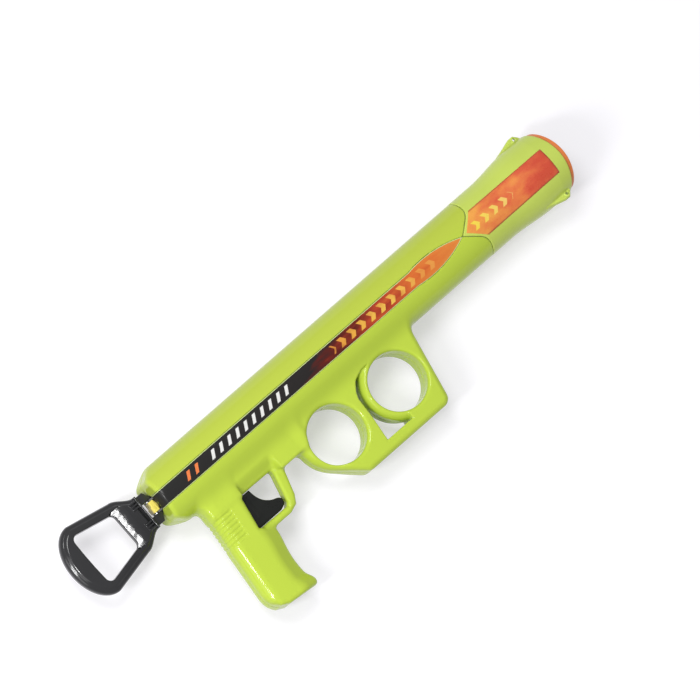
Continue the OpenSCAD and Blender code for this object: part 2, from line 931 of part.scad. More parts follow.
module hand_hole_2d() {
  back = loop_x + handle_bar;
  front = neck_x - hand_set;
  fall = (handle_h - shoulder_h) / 2 / (handle_len - neck_run - handle_bow);
  slope = atan(fall);
  edge_y = handle_h / 2 - handle_arm / cos(slope) + fall * (loop_x + handle_bow);
  arc_drop = hand_round / cos(slope);
  back_y = edge_y - fall * (back + hand_round) - arc_drop;
  front_y = edge_y - fall * (front - hand_round) - arc_drop;
  upper = concat(
    hand_arc(front - hand_round, front_y, 0, 90 - slope),
    hand_arc(back + hand_round, back_y, 90 - slope, 180)
  );
  last = len(upper) - 1;
  polygon(concat(upper, [for (k = [last : -1 : 0]) [upper[k][0], -upper[k][1]]]));
}

module pull_handle() {
  color([0.05, 0.05, 0.055])
    difference() {
      union() {
        across(handle_t / 2)
          difference() {
            loop_2d();
            hand_hole_2d();
          }
        across(handle_t / 2 - 2)
          for (side = [-1, 1])
            polygon([
              [neck_x - 1, side * window_h / 2], [handle_x, side * window_h / 2],
              [handle_x, side * (window_h / 2 + prong_tip)],
              [handle_x - prong_bevel, side * neck_h / 2], [neck_x - 1, side * neck_h / 2]
            ]);
      }
      translate([handle_x - 4, 0, 0])
        rotate([90, 0, 0])
          cylinder(d = cross_pin_d + 2 * seat_gap, h = 80, center = true);
    }
}

module cross_pin() {
  color([0.66, 0.67, 0.70])
    translate([handle_x - 4, 0, 0])
      rotate([90, 0, 0])
        cylinder(d = cross_pin_d, h = window_h + 10, center = true);
}

slot_x = latch_x;
slot_y = ry - 1.5;

module trigger() {
  slope = atan(latch_drop / trigger_travel);
  reach = sqrt(pow(latch_drop, 2) + pow(trigger_travel, 2));
  wide = latch_pin_d + 2 * run_gap;
  color([0.05, 0.05, 0.055])
    difference() {
      union() {
        across(trigger_t / 2)
          polygon([
            [gx + 40.5, ry - 0.4], [gx + 51.6, ry - 0.4], [gx + 53.6, ry - 9.7],
            [gx + 56.7, ry - 16.5], [gx + 61.9, ry - 21.3], [gx + 70.2, ry - 24.3],
            [gx + 72.3, ry - 28.1], [gx + 70.2, ry - 32], [gx + 64, ry - 35.8],
            [gx + 27, ry - 35.8], [gx + 27, ry - 24.5], [gx + 40, ry - 24.5], [gx + 40.5, ry - 10.5]
          ]);
        for (side = [0, 1])
          mirror([0, 0, side])
            translate([0, 0, 3.3])
              linear_extrude(trigger_t / 2 - 3.3)
                polygon([
                  [gx + 24, ry + 3.4], [gx + 38.4, ry + 3.4], [gx + 38.4, ry - 0.4],
                  [gx + 42, ry - 0.4], [gx + 42, ry - 11.5], [gx + 24, ry - 11.5]
                ]);
      }
      translate([slot_x, slot_y, -20])
        rotate([0, 0, -slope])
          translate([-wide / 2, -wide / 2, 0])
            cube([reach + wide, wide, 40]);
    }
}

module trigger_spring() {
  color([0.62, 0.63, 0.65])
    translate([trigger_spring_x, ry - 30.1, 0])
      coil(small_spring_d, small_wire, 7, trigger_spring_len);
}

module latch_plate() {
  wide = window_r + 3;
  top = latch_drop + window_r + 3;
  color([0.55, 0.56, 0.58])
    difference() {
      union() {
        translate([latch_x - latch_t / 2, ry + 10.5, -wide])
          cube([latch_t, top - ry - 10.5, 2 * wide]);
        translate([latch_x - latch_t / 2, ry - 8, -2.8])
          cube([latch_t, 20, 5.6]);
      }
      translate([latch_x - 10, latch_drop, 0])
        rotate([0, 90, 0])
          cylinder(r = window_r, h = 20);
      translate([slot_x, slot_y, 0])
        cylinder(d = latch_pin_d + 2 * seat_gap, h = 40, center = true);
    }
}

module latch_pin() {
  color([0.66, 0.67, 0.70])
    translate([slot_x, slot_y, 0])
      cylinder(d = latch_pin_d, h = trigger_t - 0.6, center = true);
}

module latch_spring() {
  color([0.62, 0.63, 0.65])
    translate([latch_x, latch_spring_y, 0])
      rotate([0, 0, 90])
        coil(small_spring_d, small_wire, 5, latch_spring_len);
}

right_shell();
left_shell();
muzzle_funnel();
muzzle_lip();
side_strip_right();
side_strip_left();
front_label_right();
front_label_left();
launch_tube();
bumper();
bulkhead();
rear_bush();
case_screws();
main_spring();
plunger_head();
head_seal();
striking_pad();
head_screw();
plunger_rod();
catch_collar();
collar_pin();
rod_key();
pull_handle();
cross_pin();
trigger();
trigger_spring();
latch_plate();
latch_pin();
latch_spring();
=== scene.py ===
"""Looks of a dog tennis ball launcher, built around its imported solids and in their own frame.

Sizes are in millimetres, in the solids' frame: X runs along the barrel to the muzzle, Y to the
launcher's top, and Z across the split between the two shells. A mesh is scaled to metres when it
is made. Moulded pieces are distance fields, meshed on a grid and drawn onto the true surface.
"""
import math
from itertools import product

import bpy
import numpy as np
from numpy import hypot, maximum, minimum
from mathutils import Matrix, Vector


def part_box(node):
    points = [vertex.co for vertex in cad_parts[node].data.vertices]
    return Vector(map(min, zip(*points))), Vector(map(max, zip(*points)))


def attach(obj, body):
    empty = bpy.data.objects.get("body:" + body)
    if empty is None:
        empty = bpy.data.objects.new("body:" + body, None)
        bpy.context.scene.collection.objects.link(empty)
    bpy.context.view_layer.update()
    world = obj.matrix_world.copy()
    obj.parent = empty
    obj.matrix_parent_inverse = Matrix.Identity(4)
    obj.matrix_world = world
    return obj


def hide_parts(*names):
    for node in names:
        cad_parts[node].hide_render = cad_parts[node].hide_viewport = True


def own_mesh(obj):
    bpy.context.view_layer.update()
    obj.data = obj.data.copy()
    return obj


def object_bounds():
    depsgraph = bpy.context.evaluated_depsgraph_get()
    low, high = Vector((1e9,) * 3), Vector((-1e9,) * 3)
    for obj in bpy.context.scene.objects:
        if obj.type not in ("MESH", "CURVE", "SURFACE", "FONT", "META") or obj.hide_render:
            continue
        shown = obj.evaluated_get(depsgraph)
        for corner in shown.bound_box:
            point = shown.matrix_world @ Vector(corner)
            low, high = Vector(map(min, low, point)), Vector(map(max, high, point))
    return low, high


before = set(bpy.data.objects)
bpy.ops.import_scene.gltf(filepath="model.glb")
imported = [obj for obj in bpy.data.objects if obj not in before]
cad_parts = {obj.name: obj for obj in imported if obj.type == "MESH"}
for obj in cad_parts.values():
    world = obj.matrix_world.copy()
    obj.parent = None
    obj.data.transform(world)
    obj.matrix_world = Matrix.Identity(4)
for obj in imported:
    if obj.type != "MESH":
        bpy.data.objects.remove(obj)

cad_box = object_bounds()
MM = 0.001


def low(node):
    return np.array(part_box(node)[0]) / MM


def high(node):
    return np.array(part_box(node)[1]) / MM


# Places that the solids give
REAR_X = low("right_shell")[0]
SEAM_GAP = 0.1
SEAM_X = high("right_shell")[0] + SEAM_GAP
BODY_R = high("right_shell")[1]
GRIP_Y = low("right_shell")[1]
LOOP_X = low("pull_handle")[0]
HANDLE_X = high("pull_handle")[0]
TUBE_R = high("launch_tube")[1]
TUBE_X = high("launch_tube")[0]
HEAD_X = high("plunger_head")[0]
HEAD_R = high("plunger_head")[1]
BULK_X = low("bulkhead")[0]
ROD_R = high("plunger_rod")[1]
COLLAR_X = high("catch_collar")[0]
COLLAR_R = high("catch_collar")[1]

# Barrel and receiver
REAR_H = 22.5
REAR_ROUND = 5
SHOULDER = 14.5
SHOULDER_ROUND = 2.5
WALL = 2.5
REAR_WALL = 4
BORE_R = BODY_R - WALL
STOP_DEPTH = 5
STOP_HALF = 1.5
BUSH_R = 11.1
BARREL_BLEND = 10
HALF_T = 17
EDGE = 3
CORNER = 1.5
CUT_ROUND = 0.5
SPLIT_GAP = 0.04
SPLIT_ROUND = 0.7
ROOT_Y = -8
GRIP_X = REAR_X + 28
UNDER_Y = -(BODY_R + 15.5)
SCOOP_DEPTH = 9
GUARD_HALF = 9
GUARD_EDGE = 4

# Ball holders
HOLE_R = 31
HOLE_TIGHT = 0.8
HOLE_EDGE = 4.5
RING_R = 38
RING_EDGE = 10
FRAME_EDGE = 6
FRAME_ROUND = 10
HEEL_EDGE = 6
HOLDER_BACK = 38.5
HOLDER_UNDER = 35
HOLDER_RIBS = 8
HOLDER_RIB_R = 1.2
HOLDER_RIB_TOP = 9
UNDER_LEAN = math.radians(41)
HOLD_X = REAR_X + 182.5
FORE_X = HOLD_X + 83
HOLD_Y = -(BODY_R + 0.5 + HOLE_R)
FOOT_Y = HOLD_Y - HOLE_R - 18

# Grip
GRIP_LEAN = math.radians(6.5)
GRIP_SET = 3.5
GRIP_ROOT_Y = -12
GRIP_DEPTH = 53
GRIP_HALF = 17.5
GRIP_ROUND = 12
GRIP_WALL = 2.8
GRIP_BEVEL = 17
GRIP_BEVEL_WAY = (0.56, 0.83)
WAIST = 3.2
WAIST_DOWN = 78
WAIST_RUN = 32
TOE = 4
TOE_DOWN = 93
TOE_RUN = 12
RIB_COUNT = 8
RIB_PITCH = 4.6
RIB_DEPTH = 1
RIB_TOP = 1.5
RIB_REACH = 23
RIB_FADE = 3
RIB_FULLNESS = 0.7

# Screws
SCREW_R = 1.5
SCREW_SEAT = 8
SCREW_HEAD_R = 3
SCREW_HOLE_R = 1.7
SCREW_WELL_R = 3.5
SCREW_ROW = 0.66 * BODY_R
BOSS_R = 5.4
THREAD_PITCH = 1.1
THREAD_DEPTH = 0.12
CROSS_HALF = 0.42
CROSS_REACH = 1.7

# Funnel and lip
SEAM_SET = 0.3
SEAM_ROUND = 1.2
TONGUE = 21.5
TONGUE_H = 16.2
TONGUE_COS = 0.8
TONGUE_BLEND = 7
FLARE_R = 37
FLARE_BACK = 80
FLARE_RUN = 52
TAPER_RUN = 14
MOUTH_R = 35.6
MOUTH_ROUND = 1.6
MOUTH_DIP = 7
MOUTH_CUT = (MOUTH_R ** 2 + MOUTH_DIP ** 2) / (2 * MOUTH_DIP)
BALL_R = 33
THROAT_R = 26
LIP_R = 31.5
LIP_WALL = 2.5
LIP_SLEEVE = 10
LIP_OUT = 4.9
LUG_X = -12.8
LUG_R = 39
LUG_HALF = 2.5
LUG_TURNS = (0, math.radians(158))
EYELET_R = 1.6
EYELET_WALL = 1.3
EYELET_HALF = 3

# Strips and labels
CHANNEL = 1
STRIP_GAP = 0.3
STRIP_TIP = 48
STRIP_TIP_H = 9.7
STRIP_TAPER = 18.5
STRIP_BEND = (STRIP_TIP ** 2 + STRIP_TIP_H ** 2) / (2 * STRIP_TIP_H)
STRIP_FRONT = SEAM_X - TONGUE - 0.8
# Width of the painted highlight along the strips' edges
STRIP_HIGHLIGHT_RIM = 0.8
LABEL_TIP = SEAM_X - TONGUE + 5
LABEL_CORNER = SEAM_X + 1.5
LABEL_FRONT = -10.4
LABEL_H = 15.5
LABEL_RIM = 1.3

# Handle and key
NECK_X = HANDLE_X - 12.3
NECK_H = 17.7
NECK_RIDGES = (9.2, 12.4, 15.6)
LOOP_HALF = 8
BAR_SET = 15.5
BAR_SIDE = 22.5
BAR_FALL = 0.28
BAR_CURL = 0.0105
RIPPLE = 0.055
WINDOW_H = 7.5
KEY_BACK = HANDLE_X - 6.2
KEY_H = 6
KEY_HALF = 6.6
KEY_EDGE = 0.8
PIN_X = HANDLE_X - 4
PIN_R = 2
PIN_GAP = 0.1

# Trigger and travels
TRIGGER_HALF = 6.2
TRIGGER_GAP = 0.3
ARM_INSIDE = 3.3
TRIGGER_TRAVEL = 6
LATCH_DROP = 4.3


# Distance fields
def smin(a, b, k):
    """The lesser of two fields, blended over a width."""
    h = maximum(k - np.abs(a - b), 0) / k
    return minimum(a, b) - 0.25 * k * h * h


def smax(a, b, k):
    """The greater of two fields, blended over a width."""
    return -smin(-a, -b, k)


def smooth(t):
    """A soft step from 0 to 1."""
    t = np.clip(t, 0, 1)
    return t * t * (3 - 2 * t)


def polygon(x, y, points):
    """Signed distance to a closed outline, below zero inside it."""
    near = np.full(x.shape, 1e12)
    inside = np.zeros(x.shape, bool)
    for (ax, ay), (bx, by) in zip(points, points[1:] + points[:1]):
        ex, ey = bx - ax, by - ay
        px, py = x - ax, y - ay
        t = np.clip((px * ex + py * ey) / (ex * ex + ey * ey), 0, 1)
        near = minimum(near, (px - t * ex) ** 2 + (py - t * ey) ** 2)
        if ey:
            inside ^= ((ay > y) != (by > y)) & (px < ex * py / ey)
    return np.where(inside, -1, 1) * np.sqrt(near)


def inset(points, by):
    """The outline drawn in by a distance, corner by corner."""
    at = np.array(points, float)
    along = np.roll(at, -1, 0) - at
    along /= np.linalg.norm(along, axis=1)[:, None]
    after = np.roll(at, -1, 0)
    turn = np.sign(np.sum(at[:, 0] * after[:, 1] - at[:, 1] * after[:, 0]))
    side = turn * np.stack([-along[:, 1], along[:, 0]], 1)
    before = np.roll(side, 1, 0)
    shift = (before + side) / (1 + (before * side).sum(1))[:, None]
    return (at + by * shift).tolist()


def rounded(x, y, points, bend):
    """Distance to an outline with its outer corners rounded."""
    return polygon(x, y, inset(points, bend)) - bend


def slab(flat, z, half, bend):
    """A plate of a flat outline, with rounded edges."""
    a = flat + bend
    b = np.abs(z) - half + bend
    return minimum(maximum(a, b), 0) + hypot(maximum(a, 0), maximum(b, 0)) - bend


def block(x, y, lows, highs):
    """Distance to an upright rectangle."""
    a = np.abs(x - (lows[0] + highs[0]) / 2) - (highs[0] - lows[0]) / 2
    b = np.abs(y - (lows[1] + highs[1]) / 2) - (highs[1] - lows[1]) / 2
    return maximum(a, b)


def leaned(x, y, angle):
    """Places along and across a pair of axes that lean by an angle."""
    return (math.cos(angle) * x - math.sin(angle) * y,
            math.sin(angle) * x + math.cos(angle) * y)


def curve(points, steps=6):
    """A smooth line through given points."""
    at = np.array([points[0], *points, points[-1]], float)
    line = []
    for k in range(1, len(at) - 2):
        for t in np.arange(steps) / steps:
            a, b, c, d = at[k - 1], at[k], at[k + 1], at[k + 2]
            line.append(0.5 * (2 * b + (c - a) * t + (2 * a - 5 * b + 4 * c - d) * t ** 2
                               + (3 * b - a - 3 * c + d) * t ** 3))
    line.append(at[-1])
    return [tuple(p) for p in line]


# Meshing
BLOCK = 8
BATCH = 600
HALF_DIAGONAL = 0.87
TETRA = np.array([(1, 1, 1), (1, -1, -1), (-1, 1, -1), (-1, -1, 1)])


def corners(counts):
    """All whole-number places in a box of counts."""
    return np.stack(np.meshgrid(*[np.arange(n) for n in counts], indexing="ij"), -1).reshape(-1, 3)


def grid_values(field, origin, blocks, step):
    """The field on a grid, worked out point by point only in blocks near the surface."""
    index = corners(blocks)
    rough = field(origin + step * (index * BLOCK + (BLOCK - 1) / 2))
    values = rough.reshape(blocks)
    for axis in range(3):
        values = np.repeat(values, BLOCK, axis)
    parts = values.reshape(blocks[0], BLOCK, blocks[1], BLOCK, blocks[2], BLOCK)
    near = index[np.abs(rough) < step * (HALF_DIAGONAL * BLOCK + 2)]
    inner = corners([BLOCK] * 3)[None]
    for some in np.array_split(near, max(1, len(near) // BATCH)):
        at = origin + step * (some[:, None] * BLOCK + inner)
        found = field(at.reshape(-1, 3)).reshape(len(some), BLOCK, BLOCK, BLOCK)
        parts[some[:, 0], :, some[:, 1], :, some[:, 2], :] = found
    return values


def surface_net(values):
    """One vertex in each cell that the surface crosses, and a quad round each crossed edge."""
    inside = values < 0
    n = np.array(values.shape) - 1
    count = np.zeros(n, np.int8)
    for i, j, k in product((0, 1), repeat=3):
        count += inside[i:n[0] + i, j:n[1] + j, k:n[2] + k]
    cells = (count > 0) & (count < 8)
    at = np.argwhere(cells)
    number = np.full(n, -1)
    number[cells] = np.arange(len(at))
    total = np.zeros((len(at), 3))
    hits = np.zeros((len(at), 1))
    faces = []
    unit = np.eye(3, dtype=int)
    for axis in range(3):
        u, v = unit[(axis + 1) % 3], unit[(axis + 2) % 3]
        for a, b in product((0, 1), repeat=2):
            start = at + a * u + b * v
            first = values[tuple(start.T)]
            last = values[tuple((start + unit[axis]).T)]
            cross = (first < 0) != (last < 0)
            share = first[cross] / (first[cross] - last[cross])
            total[cross] += (a * u + b * v) + share[:, None] * unit[axis]
            hits[cross] += 1
        here = np.moveaxis(inside, axis, 0)
        change = np.moveaxis(here[1:] != here[:-1], 0, axis)
        spot = np.argwhere(change)
        spot = spot[np.all((spot + (1 - unit[axis]) <= n) & (spot >= 1 - unit[axis]), 1)]
        spot = spot[np.all(spot < n, 1)]
        quad = np.stack([number[tuple((spot - s).T)] for s in (0 * u, u, u + v, v)], 1)
        turned_in = inside[tuple(spot.T)]
        quad[~turned_in] = quad[~turned_in, ::-1]
        faces.append(quad)
    return at + total / hits, np.concatenate(faces)


def level_and_slope(field, points, reach):
    """The field's value and its slope at points."""
    found = [field(points + 0.25 * reach * t) for t in TETRA]
    return sum(found) / 4, sum(f[:, None] * t for f, t in zip(found, TETRA)) / reach


def settle(field, points, reach, rounds=3):
    """Draws points onto the field's zero surface."""
    for _ in range(rounds):
        level, slope = level_and_slope(field, points, reach)
        step = level / maximum((slope ** 2).sum(1), 0.2)
        points = points - np.clip(step, -reach, reach)[:, None] * slope
    return points


def add_mesh(name, points, faces):
    """A smooth-shaded object from points in millimetres."""
    mesh = bpy.data.meshes.new(name)
    if isinstance(faces, np.ndarray):
        faces = faces.tolist()
    mesh.from_pydata(np.asarray(points) * MM, [], faces)
    mesh.update()
    mesh.shade_smooth()
    piece = bpy.data.objects.new(name, mesh)
    bpy.context.scene.collection.objects.link(piece)
    return piece


def ring_faces(rings, n, closed):
    """Quads between neighbouring rings of n points each."""
    pairs = [(k, (k + 1) % rings) for k in range(rings if closed else rings - 1)]
    return [(a * n + i, a * n + (i + 1) % n, b * n + (i + 1) % n, b * n + i)
            for a, b in pairs for i in range(n)]


def moulded(name, field, lows, highs, step):
    """A piece meshed from its distance field."""
    lows, highs = np.array(lows, float), np.array(highs, float)
    blocks = np.ceil((highs - lows) / step / BLOCK).astype(int) + 1
    origin = lows - 2 * step
    points, faces = surface_net(grid_values(field, origin, blocks, step))
    points = settle(field, origin + step * points, step)
    piece = add_mesh(name, points, faces)
    slope = level_and_slope(field, points, 0.5 * step)[1]
    piece.data.normals_split_custom_set_from_vertices(
        slope / maximum(np.linalg.norm(slope, axis=1), 1e-6)[:, None])
    return piece


def fit_out(piece, body, material, slot, *nodes):
    """Gives a piece its body, its finish and the solids that it stands for."""
    piece.data.materials.clear()
    piece.data.materials.append(material)
    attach(piece, body)
    if nodes:
        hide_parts(*nodes)


# Finishes
class Finish:
    """A material's nodes, with short ways to add them."""

    def __init__(self, name):
        self.material = bpy.data.materials.new(name)
        self.material.use_nodes = True
        self.tree = self.material.node_tree
        self.shader = self.tree.nodes["Principled BSDF"]
        self.place = self.node("TexCoord").outputs["Object"]

    def node(self, kind):
        return self.tree.nodes.new("ShaderNode" + kind)

    def put(self, socket, value):
        if isinstance(value, bpy.types.NodeSocket):
            self.tree.links.new(value, socket)
        else:
            socket.default_value = value

    def set(self, **values):
        for name, value in values.items():
            self.put(self.shader.inputs[name.replace("_", " ")], value)

    def math(self, kind, a, b=0.0):
        node = self.node("Math")
        node.operation = kind
        self.put(node.inputs[0], a)
        self.put(node.inputs[1], b)
        return node.outputs[0]

    def axes(self):
        node = self.node("SeparateXYZ")
        self.put(node.inputs[0], self.place)
        return [node.outputs[k] for k in range(3)]

    def noise(self, scale, detail=2.0, stretch=(1, 1, 1)):
        room = self.node("Mapping")
        self.put(room.inputs["Vector"], self.place)
        room.inputs["Scale"].default_value = stretch
        node = self.node("TexNoise")
        self.put(node.inputs["Vector"], room.outputs[0])
        node.inputs["Scale"].default_value = scale
        node.inputs["Detail"].default_value = detail
        return node.outputs["Fac"]

    def span(self, value, a, b, c=0.0, d=1.0, kind="LINEAR"):
        node = self.node("MapRange")
        node.interpolation_type = kind
        self.put(node.inputs["Value"], value)
        for name, number in zip(("From Min", "From Max", "To Min", "To Max"), (a, b, c, d)):
            node.inputs[name].default_value = number
        return node.outputs["Result"]

    def mix(self, share, a, b):
        node = self.node("Mix")
        node.data_type = "RGBA"
        self.put(node.inputs["Factor"], share)
        colour_in = [s for s in node.inputs if s.type == "RGBA"]
        for socket, value in zip(colour_in, (a, b)):
            self.put(socket, (*value, 1) if isinstance(value, tuple) else value)
        return [s for s in node.outputs if s.type == "RGBA"][0]

    def ramp(self, value, stops):
        node = self.node("ValToRGB")
        self.put(node.inputs["Fac"], value)
        line = node.color_ramp.elements
        while len(line) < len(stops):
            line.new(0.5)
        for stop, (at, colour) in zip(line, stops):
            stop.position = at
            stop.color = (*colour, 1)
        return node.outputs["Color"]

    def bump(self, height, strength, depth):
        node = self.node("Bump")
        node.inputs["Strength"].default_value = strength
        node.inputs["Distance"].default_value = depth
        self.put(node.inputs["Height"], height)
        return node.outputs["Normal"]

    def fine_skin(self, strength):
        """The fine uneven skin of a moulded or printed surface."""
        self.set(Normal=self.bump(self.noise(900, 2), strength, 0.0001))

    def between(self, value, a, b):
        """One where a value lies between two places in millimetres."""
        over = self.math("GREATER_THAN", value, a * MM)
        return self.math("MULTIPLY", over, self.math("LESS_THAN", value, b * MM))

    def marks(self, value, pitch, share, height, reach):
        """One in a share of each pitch along a value, up to a reach from the middle line."""
        part = self.math("FRACT", self.math("DIVIDE", value, pitch * MM))
        inked = self.math("LESS_THAN", part, share)
        return self.math("MULTIPLY", inked, self.math("LESS_THAN", height, reach * MM))


def shade(colour, by):
    """A colour made lighter or darker."""
    return tuple(min(1.0, c * by) for c in colour)


def moulded_plastic(name, colour, rough, gloss=0.5, drift=0.07, grain=0.02, top=None):
    """Plastic with a slight drift of colour, uneven gloss and a fine moulded skin, and, when a top
    colour is given, painted shade on its upper half.
    """
    f = Finish(name)
    cloud = f.noise(14, 3)
    skin = f.ramp(cloud, [(0.3, shade(colour, 1 - drift)), (0.7, shade(colour, 1 + drift))])
    # Painted shade: above the middle plane the colour fades to a duller, less green top tint,
    # standing in for how light falls on the top.
    if top:
        skin = f.mix(f.span(f.axes()[1], *PAINTED_TOP_SHADE_FADE, kind="SMOOTHSTEP"), skin, top)
    f.set(Base_Color=skin)
    f.set(Roughness=f.span(f.noise(90, 3), 0.3, 0.7, 0.8 * rough, 1.2 * rough))
    f.fine_skin(grain)
    f.set(Specular_IOR_Level=gloss)
    return f.material


def soft_rubber(name, colour, rough=0.55):
    """Rubber with a fine matt grain."""
    f = Finish(name)
    cloud = f.noise(30, 4)
    f.set(Base_Color=f.ramp(cloud, [(0.3, shade(colour, 0.9)), (0.7, shade(colour, 1.08))]))
    f.set(Roughness=f.span(f.noise(300, 3), 0.3, 0.7, rough - 0.06, rough + 0.08))
    f.set(Normal=f.bump(f.noise(2600, 3), 0.15, 0.0002))
    return f.material


def drawn_steel(name, colour=(0.56, 0.57, 0.59), rough=0.28, stretch=(1, 30, 30)):
    """Plated steel with fine lines along its length."""
    f = Finish(name)
    lines = f.noise(160, 3, stretch)
    f.set(Base_Color=f.ramp(lines, [(0.3, shade(colour, 0.85)), (0.7, shade(colour, 1.1))]))
    f.set(Metallic=1.0)
    f.set(Roughness=f.span(lines, 0.3, 0.7, rough - 0.07, rough + 0.1))
    f.set(Normal=f.bump(lines, 0.06, 0.0002))
    return f.material


LIME = (0.478, 0.618, 0.06)
# Painted shade for the shells' upper half: a duller, less green lime, and the heights in metres over
# which it fades in.
PAINTED_TOP_SHADE = (0.475, 0.58, 0.065)
PAINTED_TOP_SHADE_FADE = (-0.006, 0.016)
BLACK = (0.023, 0.023, 0.025)
PALE_LIME = (0.55, 0.672, 0.118)
lime = moulded_plastic("lime_plastic", LIME, 0.075, 0.24, drift=0.02, grain=0.008, top=PAINTED_TOP_SHADE)
pale_lime = moulded_plastic("muzzle_plastic", PALE_LIME, 0.2, 0.2, drift=0.03, grain=0.008)
black = moulded_plastic("black_plastic", BLACK, 0.11, 0.5, drift=0.2, grain=0.01)
jet = moulded_plastic("trigger_plastic", (0.009, 0.01, 0.009), 0.3, 0.3, drift=0.2)
yellow = moulded_plastic("yellow_plastic", (0.82, 0.68, 0.13), 0.3, 0.4)
grey = moulded_plastic("pale_plastic", (0.66, 0.68, 0.66), 0.42)
dark = moulded_plastic("dark_plastic", (0.05, 0.05, 0.055), 0.45)
red_orange = moulded_plastic("orange_plastic", (0.78, 0.2, 0.05), 0.38)
lip_rubber = soft_rubber("orange_rubber", (0.76, 0.21, 0.05), 0.42)
rubber = soft_rubber("black_rubber", (0.03, 0.03, 0.03))
steel = drawn_steel("plated_steel")
spring_steel = drawn_steel("spring_steel", (0.5, 0.51, 0.53), 0.24, (6, 6, 6))


# Shells
def by_grip(*points):
    """Points that are given from the top of the grip's back."""
    return [(GRIP_X + x, UNDER_Y + y) for x, y in points]


UNDER_WAY = (-math.sin(UNDER_LEAN), -math.cos(UNDER_LEAN))
HEEL_R = 40
HEEL_X = HOLD_X - HOLDER_BACK + HEEL_R
HEEL_Y = HOLD_Y + (HOLDER_UNDER - HEEL_R - (HEEL_R - HOLDER_BACK) * UNDER_WAY[0]) / UNDER_WAY[1]
FRAME = [
    (FORE_X + HOLE_R + 21, ROOT_Y),
    (FORE_X + HOLE_R - 2.6, FOOT_Y),
    (HOLD_X + (HOLDER_UNDER - (FOOT_Y - HOLD_Y) * UNDER_WAY[1]) / UNDER_WAY[0], FOOT_Y),
] + [
    (HEEL_X - HEEL_R * math.cos(a), HEEL_Y - HEEL_R * math.sin(a))
    for a in np.linspace(math.pi / 2 - UNDER_LEAN, 0, 10)
] + [
    (HOLD_X - HOLDER_BACK, ROOT_Y),
]
RECEIVER = [
    (GRIP_X + 2, ROOT_Y),
    *by_grip((2, 0), (84, 0), (90, -6.3), (130, -6.3)),
    (GRIP_X + 130, ROOT_Y),
]
GRIP_FOOT = [(-30, 40), (-14, 24), (-8.2, 14), (-2.5, 7.3), (5.8, 3.4), (42, 0), (75, 0)]
GRIP = [
    (GRIP_X - 30, GRIP_ROOT_Y),
    *[(GRIP_X + x, GRIP_Y + y) for x, y in GRIP_FOOT],
    *by_grip((75, -37.6), (37.5, -37.6), (31.8, -34.5), (40, 3.5)),
    (GRIP_X + 41, GRIP_ROOT_Y),
]
GUARD = by_grip(
    (97, 14), (97, 0), (92.5, -8.7), (84.2, -33), (79.1, -40.7), (69.7, -44.1),
    (36, -44.1), (36, -36.4), (70, -36.4), (73, -33), (82.2, 0), (82.2, 14))
GAP = [(FORE_X + x, HOLD_Y + y) for x, y in (
    (-13, HOLE_R + 2.5), (-22, HOLE_R + 2.5), (-33, 0.89 * HOLE_R), (-40, 0.61 * HOLE_R),
    (-43, 0.39 * HOLE_R), (-44.5, -10), (-48, -HOLE_R - 5.6), (-14, -HOLE_R - 5.6), (-10, 0))]
TRIGGER_SLOT = by_grip((24, -36), (64, 0.1))

# Rooms in the flat parts of the shells: lower rear and upper front corner of each
ROOMS = [
    ((GRIP_X + 7, UNDER_Y - 4), (GRIP_X + 39.2, -18)),
    ((GRIP_X + 43, UNDER_Y + 2.8), (GRIP_X + 115, -17.2)),
    ((HOLD_X + 20, FOOT_Y + 2.8), (FORE_X, FOOT_Y + 10.1)),
]

# Place of each case screw, and whether it has a boss in the hollow
SCREWS = [
    (REAR_X + 40, SCREW_ROW, True),
    (GRIP_X + 111, SCREW_ROW, True),
    (BULK_X - 27, SCREW_ROW, True),
    (GRIP_X + 66, UNDER_Y + 10, True),
    (GRIP_X + 18, GRIP_Y + 16, True),
    (GRIP_X + 20, UNDER_Y - 57, True),
    (HOLD_X + 10, FOOT_Y + 7, False),
    (FORE_X + 14, FOOT_Y + 7.5, False),
    (HOLD_X + HOLE_R + 5, UNDER_Y + 6, False),
    (FORE_X + HOLE_R + 4.2, HOLD_Y + HOLE_R - 7, False),
]


def rear_bevel(x, y):
    """Height above the bevels of the barrel's rear end, which lie above and below it."""
    slope = (BODY_R - REAR_H) / SHOULDER
    return (np.abs(y) - REAR_H - (x - REAR_X) * slope) * math.cos(math.atan(slope))


def barrel(x, y, r):
    """The barrel with its round rear edge, without the seam end."""
    return smax(smax(r - BODY_R, REAR_X - x, REAR_ROUND), rear_bevel(x, y), SHOULDER_ROUND)


def grip(x, y, z, grow=0.0):
    """The leaning grip: round at the back, bevelled and drawn in at the front, with a toe."""
    u, v = leaned(x - GRIP_X, y - UNDER_Y - GRIP_SET, GRIP_LEAN)
    waist = WAIST * np.clip(1 - ((v + WAIST_DOWN) / WAIST_RUN) ** 2, 0, 1) ** 2
    toe = TOE * smooth((-v - TOE_DOWN) / TOE_RUN)
    u = u + (waist - toe) * smooth(u / GRIP_DEPTH)
    half = GRIP_DEPTH / 2
    bar = slab(np.abs(u - half) - half, z, GRIP_HALF, GRIP_ROUND)
    bevel = (GRIP_BEVEL_WAY[0] * (u - GRIP_DEPTH + GRIP_BEVEL)
             + GRIP_BEVEL_WAY[1] * (np.abs(z) - GRIP_HALF))
    bar = smax(bar, bevel, 3)
    if not grow:
        row = (UNDER_Y + RIB_TOP - y) / RIB_PITCH
        groove = 1 - (0.5 - 0.5 * np.cos(2 * np.pi * row)) ** RIB_FULLNESS
        groove = groove * smooth(row / 0.5) * smooth((RIB_COUNT - row) / 0.5)
        bar = bar + RIB_DEPTH * groove * smooth((RIB_REACH - u) / RIB_FADE)
    return smax(bar - grow, polygon(x, y, GRIP) - grow, 5)


def scoop(x, y):
    """Depth of the soft dip in the receiver's sides above the trigger."""
    return SCOOP_DEPTH * (smooth((UNDER_Y + 15 - y) / 16) * smooth((x - GRIP_X - 39) / 5)
                          * smooth((GRIP_X + 90 - x) / 7))


